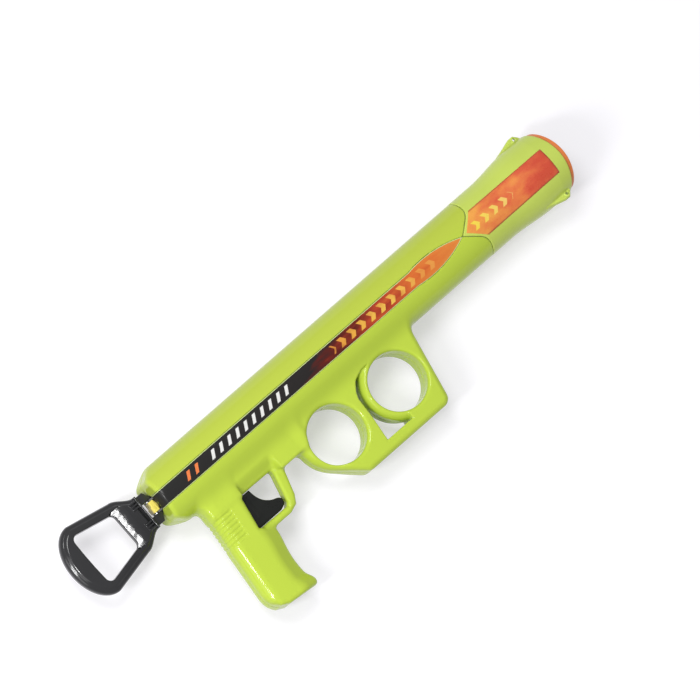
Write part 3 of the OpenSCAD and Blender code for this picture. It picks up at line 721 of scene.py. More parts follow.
def hollow(x, y, z, r):
    """The space inside the shells."""
    bore = maximum(maximum(r - BORE_R, rear_bevel(x, y) + WALL), REAR_X + REAR_WALL - x)
    stop = maximum(BORE_R - STOP_DEPTH - r, np.abs(x - BULK_X + STOP_HALF) - STOP_HALF)
    bore = maximum(bore, -stop)
    flat = minimum.reduce([block(x, y, *room) for room in ROOMS])
    rooms = maximum(flat, np.abs(z) - HALF_T + GRIP_WALL + scoop(x, y))
    return minimum(minimum(bore, rooms), grip(x, y, z, -GRIP_WALL))


def strip_half_height(x):
    """Half the height of a side strip, pointed at the front."""
    dx = np.clip(np.asarray(x) - STRIP_FRONT + STRIP_TIP, -STRIP_TAPER, STRIP_TIP)
    return np.sqrt(STRIP_BEND * STRIP_BEND - dx * dx) - STRIP_BEND + STRIP_TIP_H


def seam(x, y):
    """Below zero on the funnel's side of the seam, which runs back into a tongue on each side."""
    tongue = (np.abs(y) - TONGUE_H * (x - SEAM_X + TONGUE) / TONGUE) * TONGUE_COS
    return smin(tongue, SEAM_X - x, TONGUE_BLEND)


def outside(x, y, z, tube):
    """Barrel, ball holders, receiver, grip and guard in one, before anything is cut."""
    edge = FRAME_EDGE + HEEL_EDGE * smooth((HOLD_X - 5 - x) / 25)
    plate = slab(rounded(x, y, FRAME, FRAME_ROUND), z, HALF_T, edge)
    plate = smax(plate, -polygon(x, y, GAP), 1.5)
    fore = hypot(x - FORE_X, y - HOLD_Y) - RING_R
    plate = smin(plate, slab(fore, z, HALF_T, RING_EDGE), 2)
    receiver = slab(rounded(x, y, RECEIVER, CORNER), z, HALF_T - scoop(x, y), EDGE)
    plate = smin(plate, receiver, 6)
    plate = smin(plate, grip(x, y, z), 5)
    body = smin(tube, plate, BARREL_BLEND)
    return smin(body, slab(rounded(x, y, GUARD, CORNER), z, GUARD_HALF, GUARD_EDGE), GUARD_EDGE)


def with_holder(body, x, y, z, centre):
    """The body with a ball holder's hole cut and small ribs set round it."""
    body = smax(body, HOLE_R - HOLE_TIGHT - hypot(x - centre, y - HOLD_Y), HOLE_EDGE)
    for k in range(HOLDER_RIBS):
        a = math.radians(360 / HOLDER_RIBS * (k + 0.5))
        dx, dy = HOLE_R * math.cos(a), HOLE_R * math.sin(a)
        rib = hypot(x - centre - dx, y - HOLD_Y - dy) - HOLDER_RIB_R
        body = smin(body, smax(rib, z - HOLDER_RIB_TOP, 2), 0.8)
    return body


def shell(points, left):
    """One half of the case."""
    x, y, z = points.T
    z = -z if left else z
    r = hypot(y, z)
    tube = barrel(x, y, r)
    body = outside(x, y, z, tube)
    space = hollow(x, y, z, r)
    for sx, sy, boss in SCREWS:
        away = hypot(x - sx, y - sy)
        if boss:
            space = maximum(space, BOSS_R - away)
        if left:
            body = smax(body, -maximum(away - SCREW_WELL_R, SCREW_SEAT - z), 0.8)
            space = minimum(space, maximum(away - SCREW_HOLE_R, z - SCREW_SEAT - 1))
    body = smax(body, -space, CUT_ROUND)
    for centre in (HOLD_X, FORE_X):
        body = with_holder(body, x, y, z, centre)
    slot = maximum(block(x, y, *TRIGGER_SLOT), z - TRIGGER_HALF - TRIGGER_GAP)
    body = smax(body, -slot, CUT_ROUND)
    body = smax(body, -maximum(r - BUSH_R, x - REAR_X - REAR_WALL - 1), CUT_ROUND)
    body = smax(body, SEAM_SET - seam(x, y), SEAM_ROUND)
    channel = maximum(np.abs(y) - strip_half_height(x) - STRIP_GAP, x - STRIP_FRONT - 0.4)
    channel = maximum(channel, maximum(-tube - CHANNEL, BUSH_R + 0.8 - r))
    body = smax(body, -maximum(channel, 5 - z), 0.6)
    return smax(body, SPLIT_GAP - z, SPLIT_ROUND)


SHELL_LOW = (REAR_X - 3, GRIP_Y - 4, -1)
SHELL_HIGH = (SEAM_X + 2, BODY_R + 3, BODY_R + 3)
STEP = 0.9

right = moulded("right_case", lambda p: shell(p, False), SHELL_LOW, SHELL_HIGH, STEP)
fit_out(right, "launcher", lime, "shell_green", "right_shell")
left_low = (SHELL_LOW[0], SHELL_LOW[1], -SHELL_HIGH[2])
left_high = (SHELL_HIGH[0], SHELL_HIGH[1], -SHELL_LOW[2])
left = moulded("left_case", lambda p: shell(p, True), left_low, left_high, STEP)
fit_out(left, "launcher", lime, "shell_green", "left_shell")


# Muzzle
def funnel_radius(x):
    """Outside radius of the funnel along the barrel."""
    swell = BODY_R + (FLARE_R - BODY_R) * smooth((x + FLARE_BACK) / FLARE_RUN)
    return swell + (MOUTH_R - FLARE_R) * np.clip((x + TAPER_RUN) / TAPER_RUN, 0, 1.3)


def mouth_front(z):
    """Place of the mouth's edge, whose sides reach further than its top and bottom."""
    return MOUTH_CUT - MOUTH_DIP / 2 - np.sqrt(MOUTH_CUT ** 2 - z ** 2)


BORE_BACK = SEAM_X - TONGUE - 10
LIP_SEAT_X = -LIP_SLEEVE - 0.1
LIP_SEAT_R = LIP_R + LIP_WALL + 0.1
FUNNEL_BORE = [
    (BORE_BACK, -1), (BORE_BACK, BORE_R), (TUBE_X + 4, BORE_R), (TUBE_X + 4, THROAT_R),
    (TUBE_X + 7, THROAT_R), (-48, BALL_R), (LIP_SEAT_X, BALL_R), (LIP_SEAT_X, LIP_SEAT_R),
    (10, LIP_SEAT_R), (10, -1),
]
LUG = [
    (LUG_X - 26, FLARE_R - 3), (LUG_X - 25, FLARE_R - 0.4), (LUG_X - 4.5, LUG_R + 3.6),
    (LUG_X + 1, LUG_R + 3.6), (LUG_X + 5, LUG_R - 0.6), (LUG_X + 6, MOUTH_R - 2),
]


def funnel(points):
    """The flared muzzle with its two eyelet lugs."""
    x, y, z = points.T
    r = hypot(y, z)
    body = smax(r - funnel_radius(x), seam(x, y) + SEAM_GAP, SEAM_ROUND)
    body = smax(body, x - mouth_front(np.clip(z, -MOUTH_R, MOUTH_R)), MOUTH_ROUND)
    for turn in LUG_TURNS:
        aside, out = leaned(z, y, turn)
        away = hypot(x - LUG_X, out - LUG_R)
        body = smin(body, slab(rounded(x, out, LUG, 1.2), aside, LUG_HALF, 1), 2)
        body = smin(body, slab(away - EYELET_R - EYELET_WALL, aside, EYELET_HALF, 0.4), 0.5)
        body = smax(body, EYELET_R - away, 0.4)
    return smax(body, -polygon(x, r, FUNNEL_BORE), CUT_ROUND)


mouth = moulded("muzzle_cone", funnel, (SEAM_X - TONGUE - 2, -44, -39), (5, 45, 39),
                0.75)
fit_out(mouth, "launcher", pale_lime, "shell_green", "muzzle_funnel")


def lip_ring():
    """The soft lip: a sleeve with a round edge that follows the mouth's."""
    turns, bend = 144, 1.1
    arc = np.radians(np.linspace(0, 90, 6))
    out_r = LIP_R + LIP_WALL
    edge = LIP_OUT - bend
    profile = [(LIP_R, -LIP_SLEEVE, 0)]
    profile += [(LIP_R + bend - bend * math.cos(a), edge + bend * math.sin(a), 1) for a in arc]
    profile += [(out_r - bend + bend * math.sin(a), edge + bend * math.cos(a), 1) for a in arc]
    profile += [(out_r, -LIP_SLEEVE, 0)]
    points = []
    for a in 2 * math.pi * np.arange(turns) / turns:
        points += [(x + front * mouth_front(r * math.sin(a)), r * math.cos(a), r * math.sin(a))
                   for r, x, front in profile]
    return add_mesh("soft_lip", points, ring_faces(turns, len(profile), True))


fit_out(lip_ring(), "launcher", lip_rubber, "lip_orange", "muzzle_lip")


# Strips and labels
def bent_sheet(name, path, half_height, field, thick, mirror):
    """A thin sheet drawn onto a field's surface, along a path of (x, radius) points."""
    across = 16
    share = np.linspace(-1, 1, across + 1)
    points = []
    for x, r in path:
        y = half_height(x) * share
        points += [(x, b, math.sqrt(r * r - b * b)) for b in y]
    points = settle(field, np.array(points), 0.5, 6)
    n = across + 1
    faces = [(k * n + i, (k + 1) * n + i, (k + 1) * n + i + 1, k * n + i + 1)
             for k in range(len(path) - 1) for i in range(across)]
    if mirror:
        points[:, 2] *= -1
        faces = [f[::-1] for f in faces]
    piece = add_mesh(name, points, faces)
    body = piece.modifiers.new("body", "SOLIDIFY")
    body.thickness = thick * MM
    body.offset = -1
    return piece


def strip_skin(points):
    """The strips' outer surface, a little under the barrel's."""
    x, y, z = points.T
    return barrel(x, y, hypot(y, z)) + 0.15


def label_skin(points):
    """The labels' outer surface, a little over the funnel's."""
    x, y, z = points.T
    return hypot(y, z) - funnel_radius(x) - 0.12


def strip_print():
    """Black film that warms to red and orange towards the muzzle, with slanted bars, chevrons and a
    painted highlight along its edges.
    """
    f = Finish("strip_film")
    x, y, _ = f.axes()
    along = f.span(x, REAR_X * MM, STRIP_FRONT * MM)
    flame = f.math("SUBTRACT", f.noise(26, 4, (1, 4, 4)), 0.5)
    heat = f.math("ADD", along, f.math("MULTIPLY", flame, 0.42))
    colour = f.ramp(heat, [
        (0.0, (0.02, 0.02, 0.019)), (0.5, (0.02, 0.017, 0.017)), (0.6, (0.11, 0.012, 0.008)),
        (0.72, (0.42, 0.05, 0.018)), (0.86, (0.66, 0.15, 0.03)), (1.0, (0.72, 0.24, 0.045))])
    height = f.math("ABSOLUTE", y)
    slanted = f.math("ADD", x, f.math("MULTIPLY", y, -0.6))
    bars = f.marks(slanted, 11, 0.36, height, 4.2)
    for start, end, tint in ((66, 176, (0.72, 0.72, 0.7)), (33, 55, (0.75, 0.2, 0.06))):
        zone = f.between(slanted, REAR_X + start, REAR_X + end)
        colour = f.mix(f.math("MULTIPLY", bars, zone), colour, tint)
    arrow = f.math("SUBTRACT", x, f.math("MULTIPLY", height, -0.75))
    chevrons = f.math("MULTIPLY", f.marks(arrow, 13.5, 0.42, height, 4.7),
                      f.between(arrow, REAR_X + 232, REAR_X + 372))
    worn = f.span(f.noise(60, 3), 0.3, 0.55, 0.35, 1.0)
    warm = f.ramp(along, [
        (0.5, (0.5, 0.1, 0.03)), (0.62, (0.75, 0.36, 0.05)),
        (0.75, (0.8, 0.5, 0.08)), (0.88, (0.74, 0.3, 0.06))])
    colour = f.mix(f.math("MULTIPLY", chevrons, worn), colour, warm)
    # Painted highlight: a pale lime line along the strip's edges, where light catches the channel's
    # edge.
    bend = STRIP_BEND * MM
    reach = f.math("SUBTRACT", x, (STRIP_FRONT - STRIP_TIP) * MM)
    reach = f.math("MAXIMUM", reach, -STRIP_TAPER * MM)
    half = f.math("SQRT", f.math("SUBTRACT", bend * bend, f.math("MULTIPLY", reach, reach)))
    over = f.math("SUBTRACT", height, half)
    rim = f.math("GREATER_THAN", over, STRIP_TIP_H * MM - bend - STRIP_HIGHLIGHT_RIM * MM)
    colour = f.mix(rim, colour, (0.6, 0.7, 0.28))
    sheen = f.span(f.noise(220, 2), 0.3, 0.7, 0.16, 0.24)
    foot = f.span(x, (REAR_X + 0.8) * MM, (REAR_X + 2.5) * MM)
    sheen = f.math("ADD", sheen, f.span(foot, 0, 1, 0.5, 0))
    f.set(Base_Color=colour, Roughness=sheen, Specular_IOR_Level=0.25)
    f.fine_skin(0.02)
    return f.material


def label_print():
    """Orange film that deepens to red towards the mouth, marbled, with pale chevrons."""
    f = Finish("label_film")
    x, y, _ = f.axes()
    along = f.span(x, (SEAM_X - TONGUE) * MM, LABEL_FRONT * MM)
    marble = f.math("SUBTRACT", f.noise(46, 6, (1, 1.8, 1.8)), 0.5)
    heat = f.math("ADD", along, f.math("MULTIPLY", marble, 1.5))
    colour = f.ramp(heat, [
        (0.05, (0.84, 0.36, 0.07)), (0.4, (0.78, 0.23, 0.06)),
        (0.75, (0.69, 0.12, 0.05)), (1.0, (0.62, 0.08, 0.04))])
    height = f.math("ABSOLUTE", y)
    arrow = f.math("ADD", x, f.math("MULTIPLY", height, 0.8))
    chevrons = f.math("MULTIPLY", f.marks(arrow, 12.5, 0.4, height, 4.6),
                      f.between(arrow, -113, -62))
    fade = f.ramp(along, [(0.1, (0.86, 0.66, 0.06)), (0.55, (0.84, 0.55, 0.16))])
    colour = f.mix(chevrons, colour, fade)
    rim = f.math("GREATER_THAN", height, (LABEL_H - LABEL_RIM) * MM)
    colour = f.mix(f.math("MULTIPLY", rim, 0.65), colour, (0.5, 0.1, 0.02))
    f.set(Base_Color=colour, Roughness=f.span(f.noise(220, 2), 0.3, 0.7, 0.24, 0.34))
    f.set(Specular_IOR_Level=0.3)
    f.fine_skin(0.02)
    return f.material


def label_half_height(x):
    """Half the height of a label, which widens from its tip to a corner and then narrows a little."""
    if x < LABEL_CORNER:
        return LABEL_H * (x - LABEL_TIP) / (LABEL_CORNER - LABEL_TIP) + 0.02
    return LABEL_H - 0.6 * (x - LABEL_CORNER) / (LABEL_FRONT - LABEL_CORNER)


strip_film = strip_print()
label_film = label_print()
strip_path = [(REAR_X, r) for r in np.linspace(BUSH_R + 1, BODY_R - 4, 14)]
strip_path += [(REAR_X + 4 - 4 * math.cos(a), BODY_R - 4 + 4 * math.sin(a))
               for a in np.linspace(0.1, math.pi / 2, 14)]
strip_path += [(x, BODY_R) for x in np.concatenate([
    np.linspace(REAR_X + 5, STRIP_FRONT - 70, 50),
    STRIP_FRONT - 68 * np.cos(np.linspace(0, math.pi / 2, 60)) ** 1.5 - 0.02])]
label_path = [(x, float(funnel_radius(x))) for x in np.concatenate([
    np.linspace(LABEL_TIP + 0.05, LABEL_CORNER, 24), np.linspace(SEAM_X + 4, LABEL_FRONT, 50)])]
for side, mirror in (("right", False), ("left", True)):
    strip = bent_sheet("strip_" + side, strip_path, strip_half_height, strip_skin, 0.75, mirror)
    fit_out(strip, "launcher", strip_film, "trim_black", "side_strip_" + side)
    label = bent_sheet("label_" + side, label_path, label_half_height, label_skin, 0.3, mirror)
    fit_out(label, "launcher", label_film, "label_orange", "front_label_" + side)


# Handle
HANDLE_H = high("pull_handle")[1]
HAND_BACK = LOOP_X + 22
HAND_FRONT = NECK_X - 27
LOOP_BOW = 27
LOOP_FRONT_H = 30.8
NECK_RUN = 24
NECK_STEP = 1.5
ARM_FALL = (HANDLE_H - LOOP_FRONT_H) / (NECK_X - NECK_RUN - LOOP_X - LOOP_BOW)


def both_halves(upper):
    """A closed outline from its upper half."""
    return upper + [(x, -y) for x, y in upper[::-1] if y > 0.01]


LOOP = both_halves(
    [(NECK_X - NECK_RUN * k,
      NECK_H + NECK_STEP + (LOOP_FRONT_H - NECK_STEP - NECK_H) * float(smooth(k)))
     for k in np.linspace(0, 1, 13)]
    + [(LOOP_X + LOOP_BOW * (1 - math.sin(a)), HANDLE_H * math.cos(a))
       for a in np.radians(np.linspace(0, 90, 31))])
HAND_EDGE = HANDLE_H - 12
HAND_HOLE = both_halves([
    (HAND_FRONT, HAND_EDGE - ARM_FALL * (HAND_FRONT - LOOP_X - LOOP_BOW)),
    (HAND_BACK + 0.8, HAND_EDGE - ARM_FALL * (HAND_BACK - LOOP_X - LOOP_BOW)),
    (HAND_BACK, 8)])
PRONG = [
    (NECK_X - 2, WINDOW_H), (HANDLE_X, WINDOW_H), (HANDLE_X, WINDOW_H + 2), (HANDLE_X - 4, NECK_H),
    (NECK_X - 2, NECK_H),
]


def pin_hole(x, z):
    """Above zero in the hole of the cross pin."""
    return PIN_R + PIN_GAP - hypot(x - PIN_X, z)


def handle(points):
    """The pull loop: a ridged rim, a sloped crossbar, a ribbed neck and two prongs."""
    x, y, z = points.T
    high_y = np.abs(y)
    outer = polygon(x, y, LOOP)
    body = smin(slab(outer, z, 6, 5), slab(outer + 4.5, z, LOOP_HALF, 3), 1.2)
    body = smax(body, -rounded(x, y, HAND_HOLE, 6), 3)
    fall = maximum(NECK_X - BAR_SET - x, 0)
    ripple = RIPPLE * np.sin(0.33 * y + 0.9) * np.sin(0.3 * fall + 0.19 * y)
    slope = 0.9 * (np.abs(z) - LOOP_HALF + BAR_FALL * fall + BAR_CURL * fall ** 2) + ripple
    slope = minimum(slope, minimum(BAR_SIDE - high_y, x - HAND_FRONT + 4))
    body = smax(body, slope, 0.8)
    for row in NECK_RIDGES:
        ridge = hypot(high_y - row, np.abs(z) - LOOP_HALF) - 1.2
        body = smin(body, maximum(ridge, np.abs(x - NECK_X + 6.5) - 4), 0.8)
    collar = block(x, y, (NECK_X - 2.2, -NECK_H - 1.6), (NECK_X, NECK_H + 1.6))
    body = smin(body, slab(collar, z, 8.7, 0.8), 0.6)
    body = smin(body, slab(rounded(x, high_y, PRONG, 0.6), z, 6, 1), 0.8)
    window = block(x, y, (NECK_X - 0.4, -WINDOW_H), (HANDLE_X + 5, WINDOW_H))
    body = smax(body, -window, 1)
    return smax(body, pin_hole(x, z), 0.4)


grasp = moulded("pull_loop", handle, (LOOP_X - 2, -HANDLE_H - 2, -10),
                (HANDLE_X + 2, HANDLE_H + 2, 10), 0.6)
fit_out(grasp, "plunger", black, "trim_black", "pull_handle")


def key_part(x, y, z, back, front, top):
    """A block of the key, from its underside to a height."""
    outline = [(back, -KEY_H), (front, -KEY_H), (front, top), (back, top)]
    return slab(rounded(x, y, outline, KEY_EDGE), z, KEY_HALF, KEY_EDGE)


def key(points):
    """The stepped key on the rod's end, bored for the rod and the cross pin."""
    x, y, z = points.T
    tall = key_part(x, y, z, KEY_BACK, HANDLE_X - 0.2, KEY_H)
    step = key_part(x, y, z, KEY_BACK - 1.3, KEY_BACK + 3.6, 0.6)
    body = smin(tall, step, 0.8)
    rod = maximum(hypot(y, z) - ROD_R - 0.1, KEY_BACK + 0.6 - x)
    return maximum(maximum(body, -rod), pin_hole(x, z))


block_key = moulded("rod_block", key, (HANDLE_X - 11, -7, -8), (HANDLE_X + 1, 7, 8), 0.35)
fit_out(block_key, "plunger", yellow, "rod_yellow", "rod_key")


# Trigger
BLADE = curve(by_grip(
    (51.6, -0.4), (53.2, -9.7), (56.7, -16.5), (62.5, -21.5), (69.6, -24.6), (72.3, -28.4),
    (70.2, -33), (64, -35.8),
)) + by_grip((27, -35.8), (27, -24.5), (40, -24.5), (40.5, -0.4))
ARM = by_grip(
    (24, 3.4), (38.4, 3.4), (38.4, -0.4), (45, -0.4), (45, -28), (33, -28), (33, -11.5), (24, -11.5))
SLOT_X, SLOT_Y = by_grip((31, -1.5))[0]
SLOT_LEAN = math.atan2(LATCH_DROP, TRIGGER_TRAVEL)
SLOT_LOW, SLOT_HIGH = (-1.8, -1.8), (9.2, 1.8)


def blade(points):
    """The finger blade and its two arms, with a slanted slot and room for the latch between them."""
    x, y, z = points.T
    body = slab(polygon(x, y, BLADE), z, TRIGGER_HALF, 2.2)
    arm = maximum(slab(polygon(x, y, ARM), z, TRIGGER_HALF, 0.6), ARM_INSIDE - np.abs(z))
    body = smin(body, arm, 0.4)
    u, v = leaned(x - SLOT_X, y - SLOT_Y, SLOT_LEAN)
    return maximum(body, -block(u, v, SLOT_LOW, SLOT_HIGH))


finger = moulded("trigger_blade", blade, (GRIP_X + 22, UNDER_Y - 38, -8),
                 (GRIP_X + 74, UNDER_Y + 5, 8), 0.5)
fit_out(finger, "trigger", jet, "trim_black", "trigger")


# Turned pieces
def soften(piece, width):
    """Breaks a piece's sharp edges."""
    edge = piece.modifiers.new("edge", "BEVEL")
    edge.width = width * MM
    edge.segments = 3
    edge.limit_method = "ANGLE"
    edge.angle_limit = math.radians(35)
    edge.harden_normals = True


def turned(name, profile, bevel=0.4, turns=96):
    """A piece turned about the barrel's axis from (radius, x) points, with broken edges."""
    rings, points = [], []
    for r, x in profile:
        if r < 1e-6:
            rings.append([len(points)] * turns)
            points.append((x, 0, 0))
        else:
            rings.append(list(range(len(points), len(points) + turns)))
            points += [(x, r * math.cos(a), r * math.sin(a))
                       for a in 2 * math.pi * np.arange(turns) / turns]
    faces = []
    for a, b in zip(rings, rings[1:] + rings[:1]):
        for k in range(turns):
            corner = [a[k], b[k], b[(k + 1) % turns], a[(k + 1) % turns]]
            face = [v for i, v in enumerate(corner) if v not in corner[:i]]
            if len(face) > 2:
                faces.append(face)
    piece = add_mesh(name, points, faces)
    soften(piece, bevel)
    return piece


def ring(inner, outer, rear, front):
    """Profile of a plain ring, or of a pin where the inner radius is zero."""
    return [(inner, rear), (outer, rear), (outer, front), (inner, front)]


def pin(name, radius, length, centre, axis):
    """A round pin along Y or Z, with broken ends."""
    piece = turned(name, ring(0, radius, -length / 2, length / 2), 0.3, 32)
    angle, about = (math.pi / 2, "Z") if axis == "y" else (-math.pi / 2, "Y")
    turn = Matrix.Rotation(angle, 4, about)
    piece.data.transform(Matrix.Translation(Vector(centre) * MM) @ turn)
    return piece


HEAD_LEN = 16
HEAD_WALL = 5
HEAD_BACK = HEAD_X - HEAD_LEN
HEAD_FLOOR = HEAD_X - HEAD_WALL
MID_X = HEAD_X - HEAD_LEN / 2
HUB_R = ROD_R + 0.1
GUIDE_R = ROD_R + 0.3
BULK_T = 6
BULK_FRONT = BULK_X + BULK_T
SPIGOT_R = 13.1
TUBE_IN = TUBE_R - 2.2
BUSH_SEAT = REAR_X + REAR_WALL
PAD_BACK = HEAD_X + 0.05
ROD_BACK = KEY_BACK + 0.7
fit_out(turned("launch_sleeve", ring(TUBE_IN, TUBE_R, BULK_FRONT + 0.1, TUBE_X)),
        "launcher", grey, "inner_grey", "launch_tube")
fit_out(turned("bump_ring", ring(TUBE_R - 5.4, TUBE_R, TUBE_X + 0.05, TUBE_X + 3.95), 0.8),
        "launcher", rubber, "rubber_black", "bumper")
fit_out(turned("spring_stop", [
    (GUIDE_R, BULK_X), (TUBE_R, BULK_X), (TUBE_R, BULK_FRONT), (SPIGOT_R, BULK_FRONT),
    (SPIGOT_R, BULK_FRONT + 4), (GUIDE_R, BULK_FRONT + 4),
]), "launcher", dark, "inner_dark", "bulkhead")
fit_out(turned("guide_bush", [
    (GUIDE_R, REAR_X + 0.2), (11, REAR_X + 0.2), (11, BUSH_SEAT + 0.05), (15, BUSH_SEAT + 0.05),
    (15, BUSH_SEAT + 4), (GUIDE_R, BUSH_SEAT + 4),
]), "launcher", black, "inner_dark", "rear_bush")
fit_out(turned("piston", [
    (SCREW_R + 0.6, HEAD_X), (HEAD_R, HEAD_X), (HEAD_R, MID_X + 2), (HEAD_R - 2, MID_X + 2),
    (HEAD_R - 2, MID_X - 2), (HEAD_R, MID_X - 2), (HEAD_R, HEAD_BACK), (HEAD_R - 4, HEAD_BACK),
    (HEAD_R - 4, HEAD_FLOOR), (HUB_R + 3, HEAD_FLOOR), (HUB_R + 3, HEAD_BACK),
    (HUB_R, HEAD_BACK), (HUB_R, HEAD_FLOOR + 2), (SCREW_R + 0.6, HEAD_FLOOR + 2),
]), "plunger", red_orange, "inner_orange", "plunger_head")
fit_out(turned("piston_ring", ring(HEAD_R - 1.9, TUBE_IN - 0.3, MID_X - 1.8, MID_X + 1.8)),
        "plunger", rubber, "rubber_black", "head_seal")
fit_out(turned("strike_pad", [
    (3.5, PAD_BACK), (21, PAD_BACK), (21, HEAD_X + 6), (20.4, HEAD_X + 7.4), (19, HEAD_X + 8),
    (14, HEAD_X + 8), (13, HEAD_X + 7.2), (12, HEAD_X + 8), (3.5, HEAD_X + 8),
], 0.6), "plunger", rubber, "rubber_black", "striking_pad")
fit_out(turned("pad_screw", [
    (0, HEAD_FLOOR - 12), (SCREW_R, HEAD_FLOOR - 12), (SCREW_R, PAD_BACK),
    (SCREW_HEAD_R, PAD_BACK), (SCREW_HEAD_R, HEAD_X + 1.6), (1.4, HEAD_X + 2.4),
    (1.2, HEAD_X + 1.2), (0, HEAD_X + 1.2),
], 0.15, 48), "plunger", steel, "steel", "head_screw")
fit_out(turned("rod", [
    (0, ROD_BACK), (ROD_R, ROD_BACK), (ROD_R, HEAD_FLOOR + 1.9), (SCREW_R + 0.1, HEAD_FLOOR + 1.9),
    (SCREW_R + 0.1, HEAD_FLOOR - 14.1), (0, HEAD_FLOOR - 14.1),
], 0.6), "plunger", yellow, "rod_yellow", "plunger_rod")
fit_out(turned("catch_ring", [
    (HUB_R, COLLAR_X - 8), (COLLAR_R - 2.4, COLLAR_X - 8), (COLLAR_R, COLLAR_X - 3),
    (COLLAR_R, COLLAR_X), (HUB_R, COLLAR_X),
]), "plunger", steel, "steel", "catch_collar")
fit_out(pin("ring_pin", 1, 2 * COLLAR_R - 3, (COLLAR_X - 4, 0, 0), "z"),
        "plunger", steel, "steel", "collar_pin")
fit_out(pin("handle_pin", PIN_R, 2 * WINDOW_H + 10, (PIN_X, 0, 0), "y"),
        "plunger", steel, "steel", "cross_pin")
fit_out(pin("plate_pin", 1.5, 2 * TRIGGER_HALF - 0.6, (SLOT_X, SLOT_Y, 0), "z"),
        "latch", steel, "steel", "latch_pin")
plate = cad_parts["latch_plate"]
plate.data.materials.clear()
plate.data.materials.append(steel)
soften(plate, 0.4)


# Case screws
def screw(points):
    """A pan-headed screw with a cross recess, its head towards -Z."""
    x, y, z = points.T
    r = hypot(x, y)
    head = slab(r - SCREW_HEAD_R, z + SCREW_SEAT + 1.2, 1.15, 0.7)
    thread = THREAD_DEPTH * np.cos(2 * np.pi * z / THREAD_PITCH)
    shank = maximum(r - SCREW_R - thread, np.abs(z) - SCREW_SEAT - 0.9)
    wide, tall = np.abs(x), np.abs(y)
    cross = minimum(maximum(wide - CROSS_HALF, tall - CROSS_REACH),
                    maximum(tall - CROSS_HALF, wide - CROSS_REACH))
    cross = maximum(cross, z + SCREW_SEAT + 1.1)
    return smax(minimum(head, shank), -cross, 0.2)


def screw_set():
    """All case screws in one mesh, from one that is copied to each place."""
    one = moulded("one_screw", screw, (-4, -4, -SCREW_SEAT - 3.5), (4, 4, SCREW_SEAT + 2), 0.3)
    points = np.array([v.co for v in one.data.vertices]) / MM
    faces = np.array([list(p.vertices) for p in one.data.polygons])
    bpy.data.objects.remove(one)
    places = [np.array((x, y, 0)) for x, y, _ in SCREWS]
    return add_mesh("shell_screws", np.concatenate([points + at for at in places]),
                    np.concatenate([faces + k * len(points) for k in range(len(places))]))


fit_out(screw_set(), "launcher", steel, "steel", "case_screws")


# Springs
def spring(name, mean_r, wire, curls, length, sides=10, steps=30):
    """A coil along X from 0, with its end turns closed up."""
    turns = np.linspace(0, curls, curls * steps + 1)
    close, ease, slow = 0.9, 0.6, 0.3
    knots = [0, close, close + ease, curls - close - ease, curls - close, curls]
    rate = np.interp(turns, knots, [slow, slow, 1, 1, slow, slow])
    climb = np.concatenate([[0], np.cumsum((rate[1:] + rate[:-1]) / 2)])
    x = wire / 2 + (length - wire) * climb / climb[-1]
    points = []
    for t, at in zip(turns, x):
        a = 2 * math.pi * t
        for k in range(sides):
            b = 2 * math.pi * k / sides
            r = mean_r + wire / 2 * math.cos(b)
            points.append((at + wire / 2 * math.sin(b), r * math.cos(a), r * math.sin(a)))
    faces = ring_faces(len(turns), sides, False)
    faces.append(tuple(range(sides))[::-1])
    faces.append(tuple(range(len(points) - sides, len(points))))
    return add_mesh(name, points, faces)


def fit_spring(name, node, wire, curls, axis):
    """A spring in its solid's place."""
    a, b = low(node), high(node)
    k = "xyz".index(axis)
    length = b[k] - a[k]
    mean_r = (max(np.delete(b - a, k)) - wire) / 2
    piece = spring(name, mean_r, wire, curls, length)
    turn = Matrix() if axis == "x" else Matrix.Rotation(math.pi / 2, 4, "Z")
    start = (a + b) / 2
    start[k] = a[k]
    piece.data.transform(Matrix.Translation(Vector(start) * MM) @ turn)
    fit_out(piece, "launcher", spring_steel, "steel", node)
    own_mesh(piece)


fit_spring("power_spring", "main_spring", 2.4, 20, "x")
fit_spring("return_spring", "trigger_spring", 0.8, 7, "x")
fit_spring("plate_spring", "latch_spring", 0.8, 5, "y")


# Camera, as the photograph was taken: from the right side, turned on its axis
VIEW_TURN = math.radians(18.88)
VIEW_LIFT = math.radians(-0.24)
VIEW_ROLL = math.radians(-41.19)
VIEW_FAR = 9.0
VIEW_LENS = 474.4
SENSOR = 36
FAR_END = 40
AIM = Vector((-0.325, -0.040, 0))
AIM_SHIFT = (0.00966, 0.0469)
back = Vector((-math.sin(VIEW_TURN) * math.cos(VIEW_LIFT), math.sin(VIEW_LIFT),
               math.cos(VIEW_TURN) * math.cos(VIEW_LIFT)))
level = Vector((math.cos(VIEW_TURN), 0, math.sin(VIEW_TURN)))
upright = back.cross(level)
right_way = math.cos(VIEW_ROLL) * level + math.sin(VIEW_ROLL) * upright
up_way = -math.sin(VIEW_ROLL) * level + math.cos(VIEW_ROLL) * upright
camera = bpy.data.objects.new("camera", bpy.data.cameras.new("camera"))
camera.data.lens = VIEW_LENS
camera.data.sensor_width = SENSOR
camera.data.clip_end = FAR_END
turn = Matrix((right_way, up_way, back)).transposed().to_4x4()
spot = AIM + AIM_SHIFT[0] * right_way + AIM_SHIFT[1] * up_way + VIEW_FAR * back
camera.matrix_world = Matrix.Translation(spot) @ turn
bpy.context.scene.collection.objects.link(camera)
bpy.context.scene.camera = camera


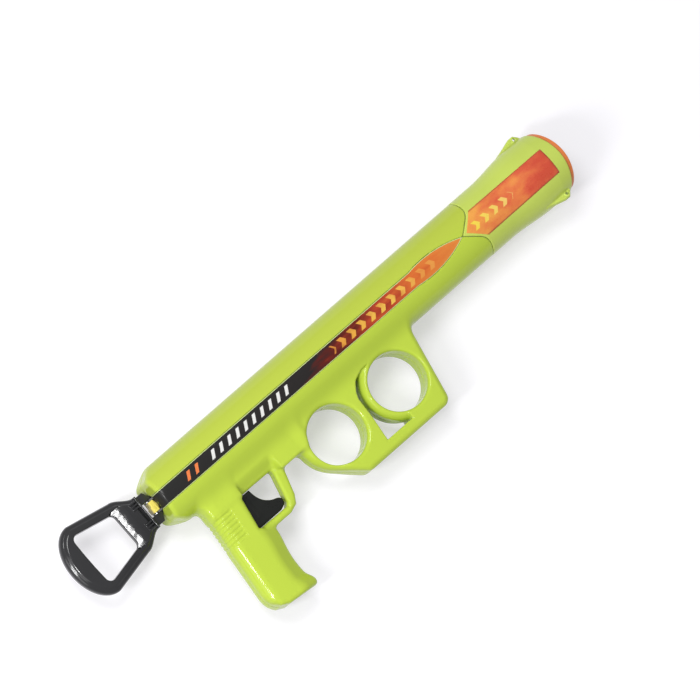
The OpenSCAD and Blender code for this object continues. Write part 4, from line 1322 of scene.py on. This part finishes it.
# Stage and light
FLOOR_Z = cad_box[0].z - 0.0005
FLOOR_SIZE = 40
FLOOR_GLOW = 0.475
WORLD_STRENGTH = 0.435


def lamp(name, way, far, size, power):
    """A soft box that faces the launcher's middle."""
    data = bpy.data.lights.new(name, "AREA")
    data.shape = "RECTANGLE"
    data.size, data.size_y = size
    data.energy = power
    piece = bpy.data.objects.new(name, data)
    way = Vector(way).normalized()
    piece.location = AIM + far * way
    piece.rotation_mode = "QUATERNION"
    piece.rotation_quaternion = way.to_track_quat("Z", "Y")
    bpy.context.scene.collection.objects.link(piece)


def floor_finish():
    """A pale sweep that is white to the eye and still takes the launcher's shadow."""
    f = Finish("pale_floor")
    f.set(Base_Color=f.ramp(f.noise(3, 2), [(0.3, (0.58, 0.575, 0.6)), (0.7, (0.59, 0.585, 0.61))]))
    f.set(Roughness=0.9, Specular_IOR_Level=0.1)
    seen = f.node("LightPath")
    eye = f.math("MAXIMUM", seen.outputs["Is Camera Ray"], seen.outputs["Is Glossy Ray"])
    eye = f.math("MAXIMUM", eye, seen.outputs["Is Transmission Ray"])
    f.set(Emission_Color=(0.98, 0.97, 1, 1), Emission_Strength=f.math("MULTIPLY", eye, FLOOR_GLOW))
    return f.material


def world_light():
    """An even white light from all sides."""
    world = bpy.data.worlds.new("studio")
    world.use_nodes = True
    sky = world.node_tree.nodes["Background"]
    sky.inputs["Color"].default_value = (1, 1, 1, 1)
    sky.inputs["Strength"].default_value = WORLD_STRENGTH
    bpy.context.scene.world = world


bpy.ops.mesh.primitive_plane_add(size=FLOOR_SIZE, location=(AIM.x, AIM.y, FLOOR_Z))
floor = bpy.context.object
floor.name = "floor"
floor.data.materials.append(floor_finish())
world_light()
lamp("key_box", (-0.2, 0.38, 0.9), 2.6, (0.9, 0.9), 28)
lamp("side_box", (-0.85, 0.05, 0.5), 2.0, (1.2, 1.0), 7)
lamp("low_strip", (-0.678, 0.028, 0.736), 2.2, (0.05, 0.73), 8)
lamp("high_strip", (-0.678, 0.1, 0.731), 2.2, (0.16, 0.53), 9.5)

bpy.context.scene.view_settings.view_transform = "Standard"
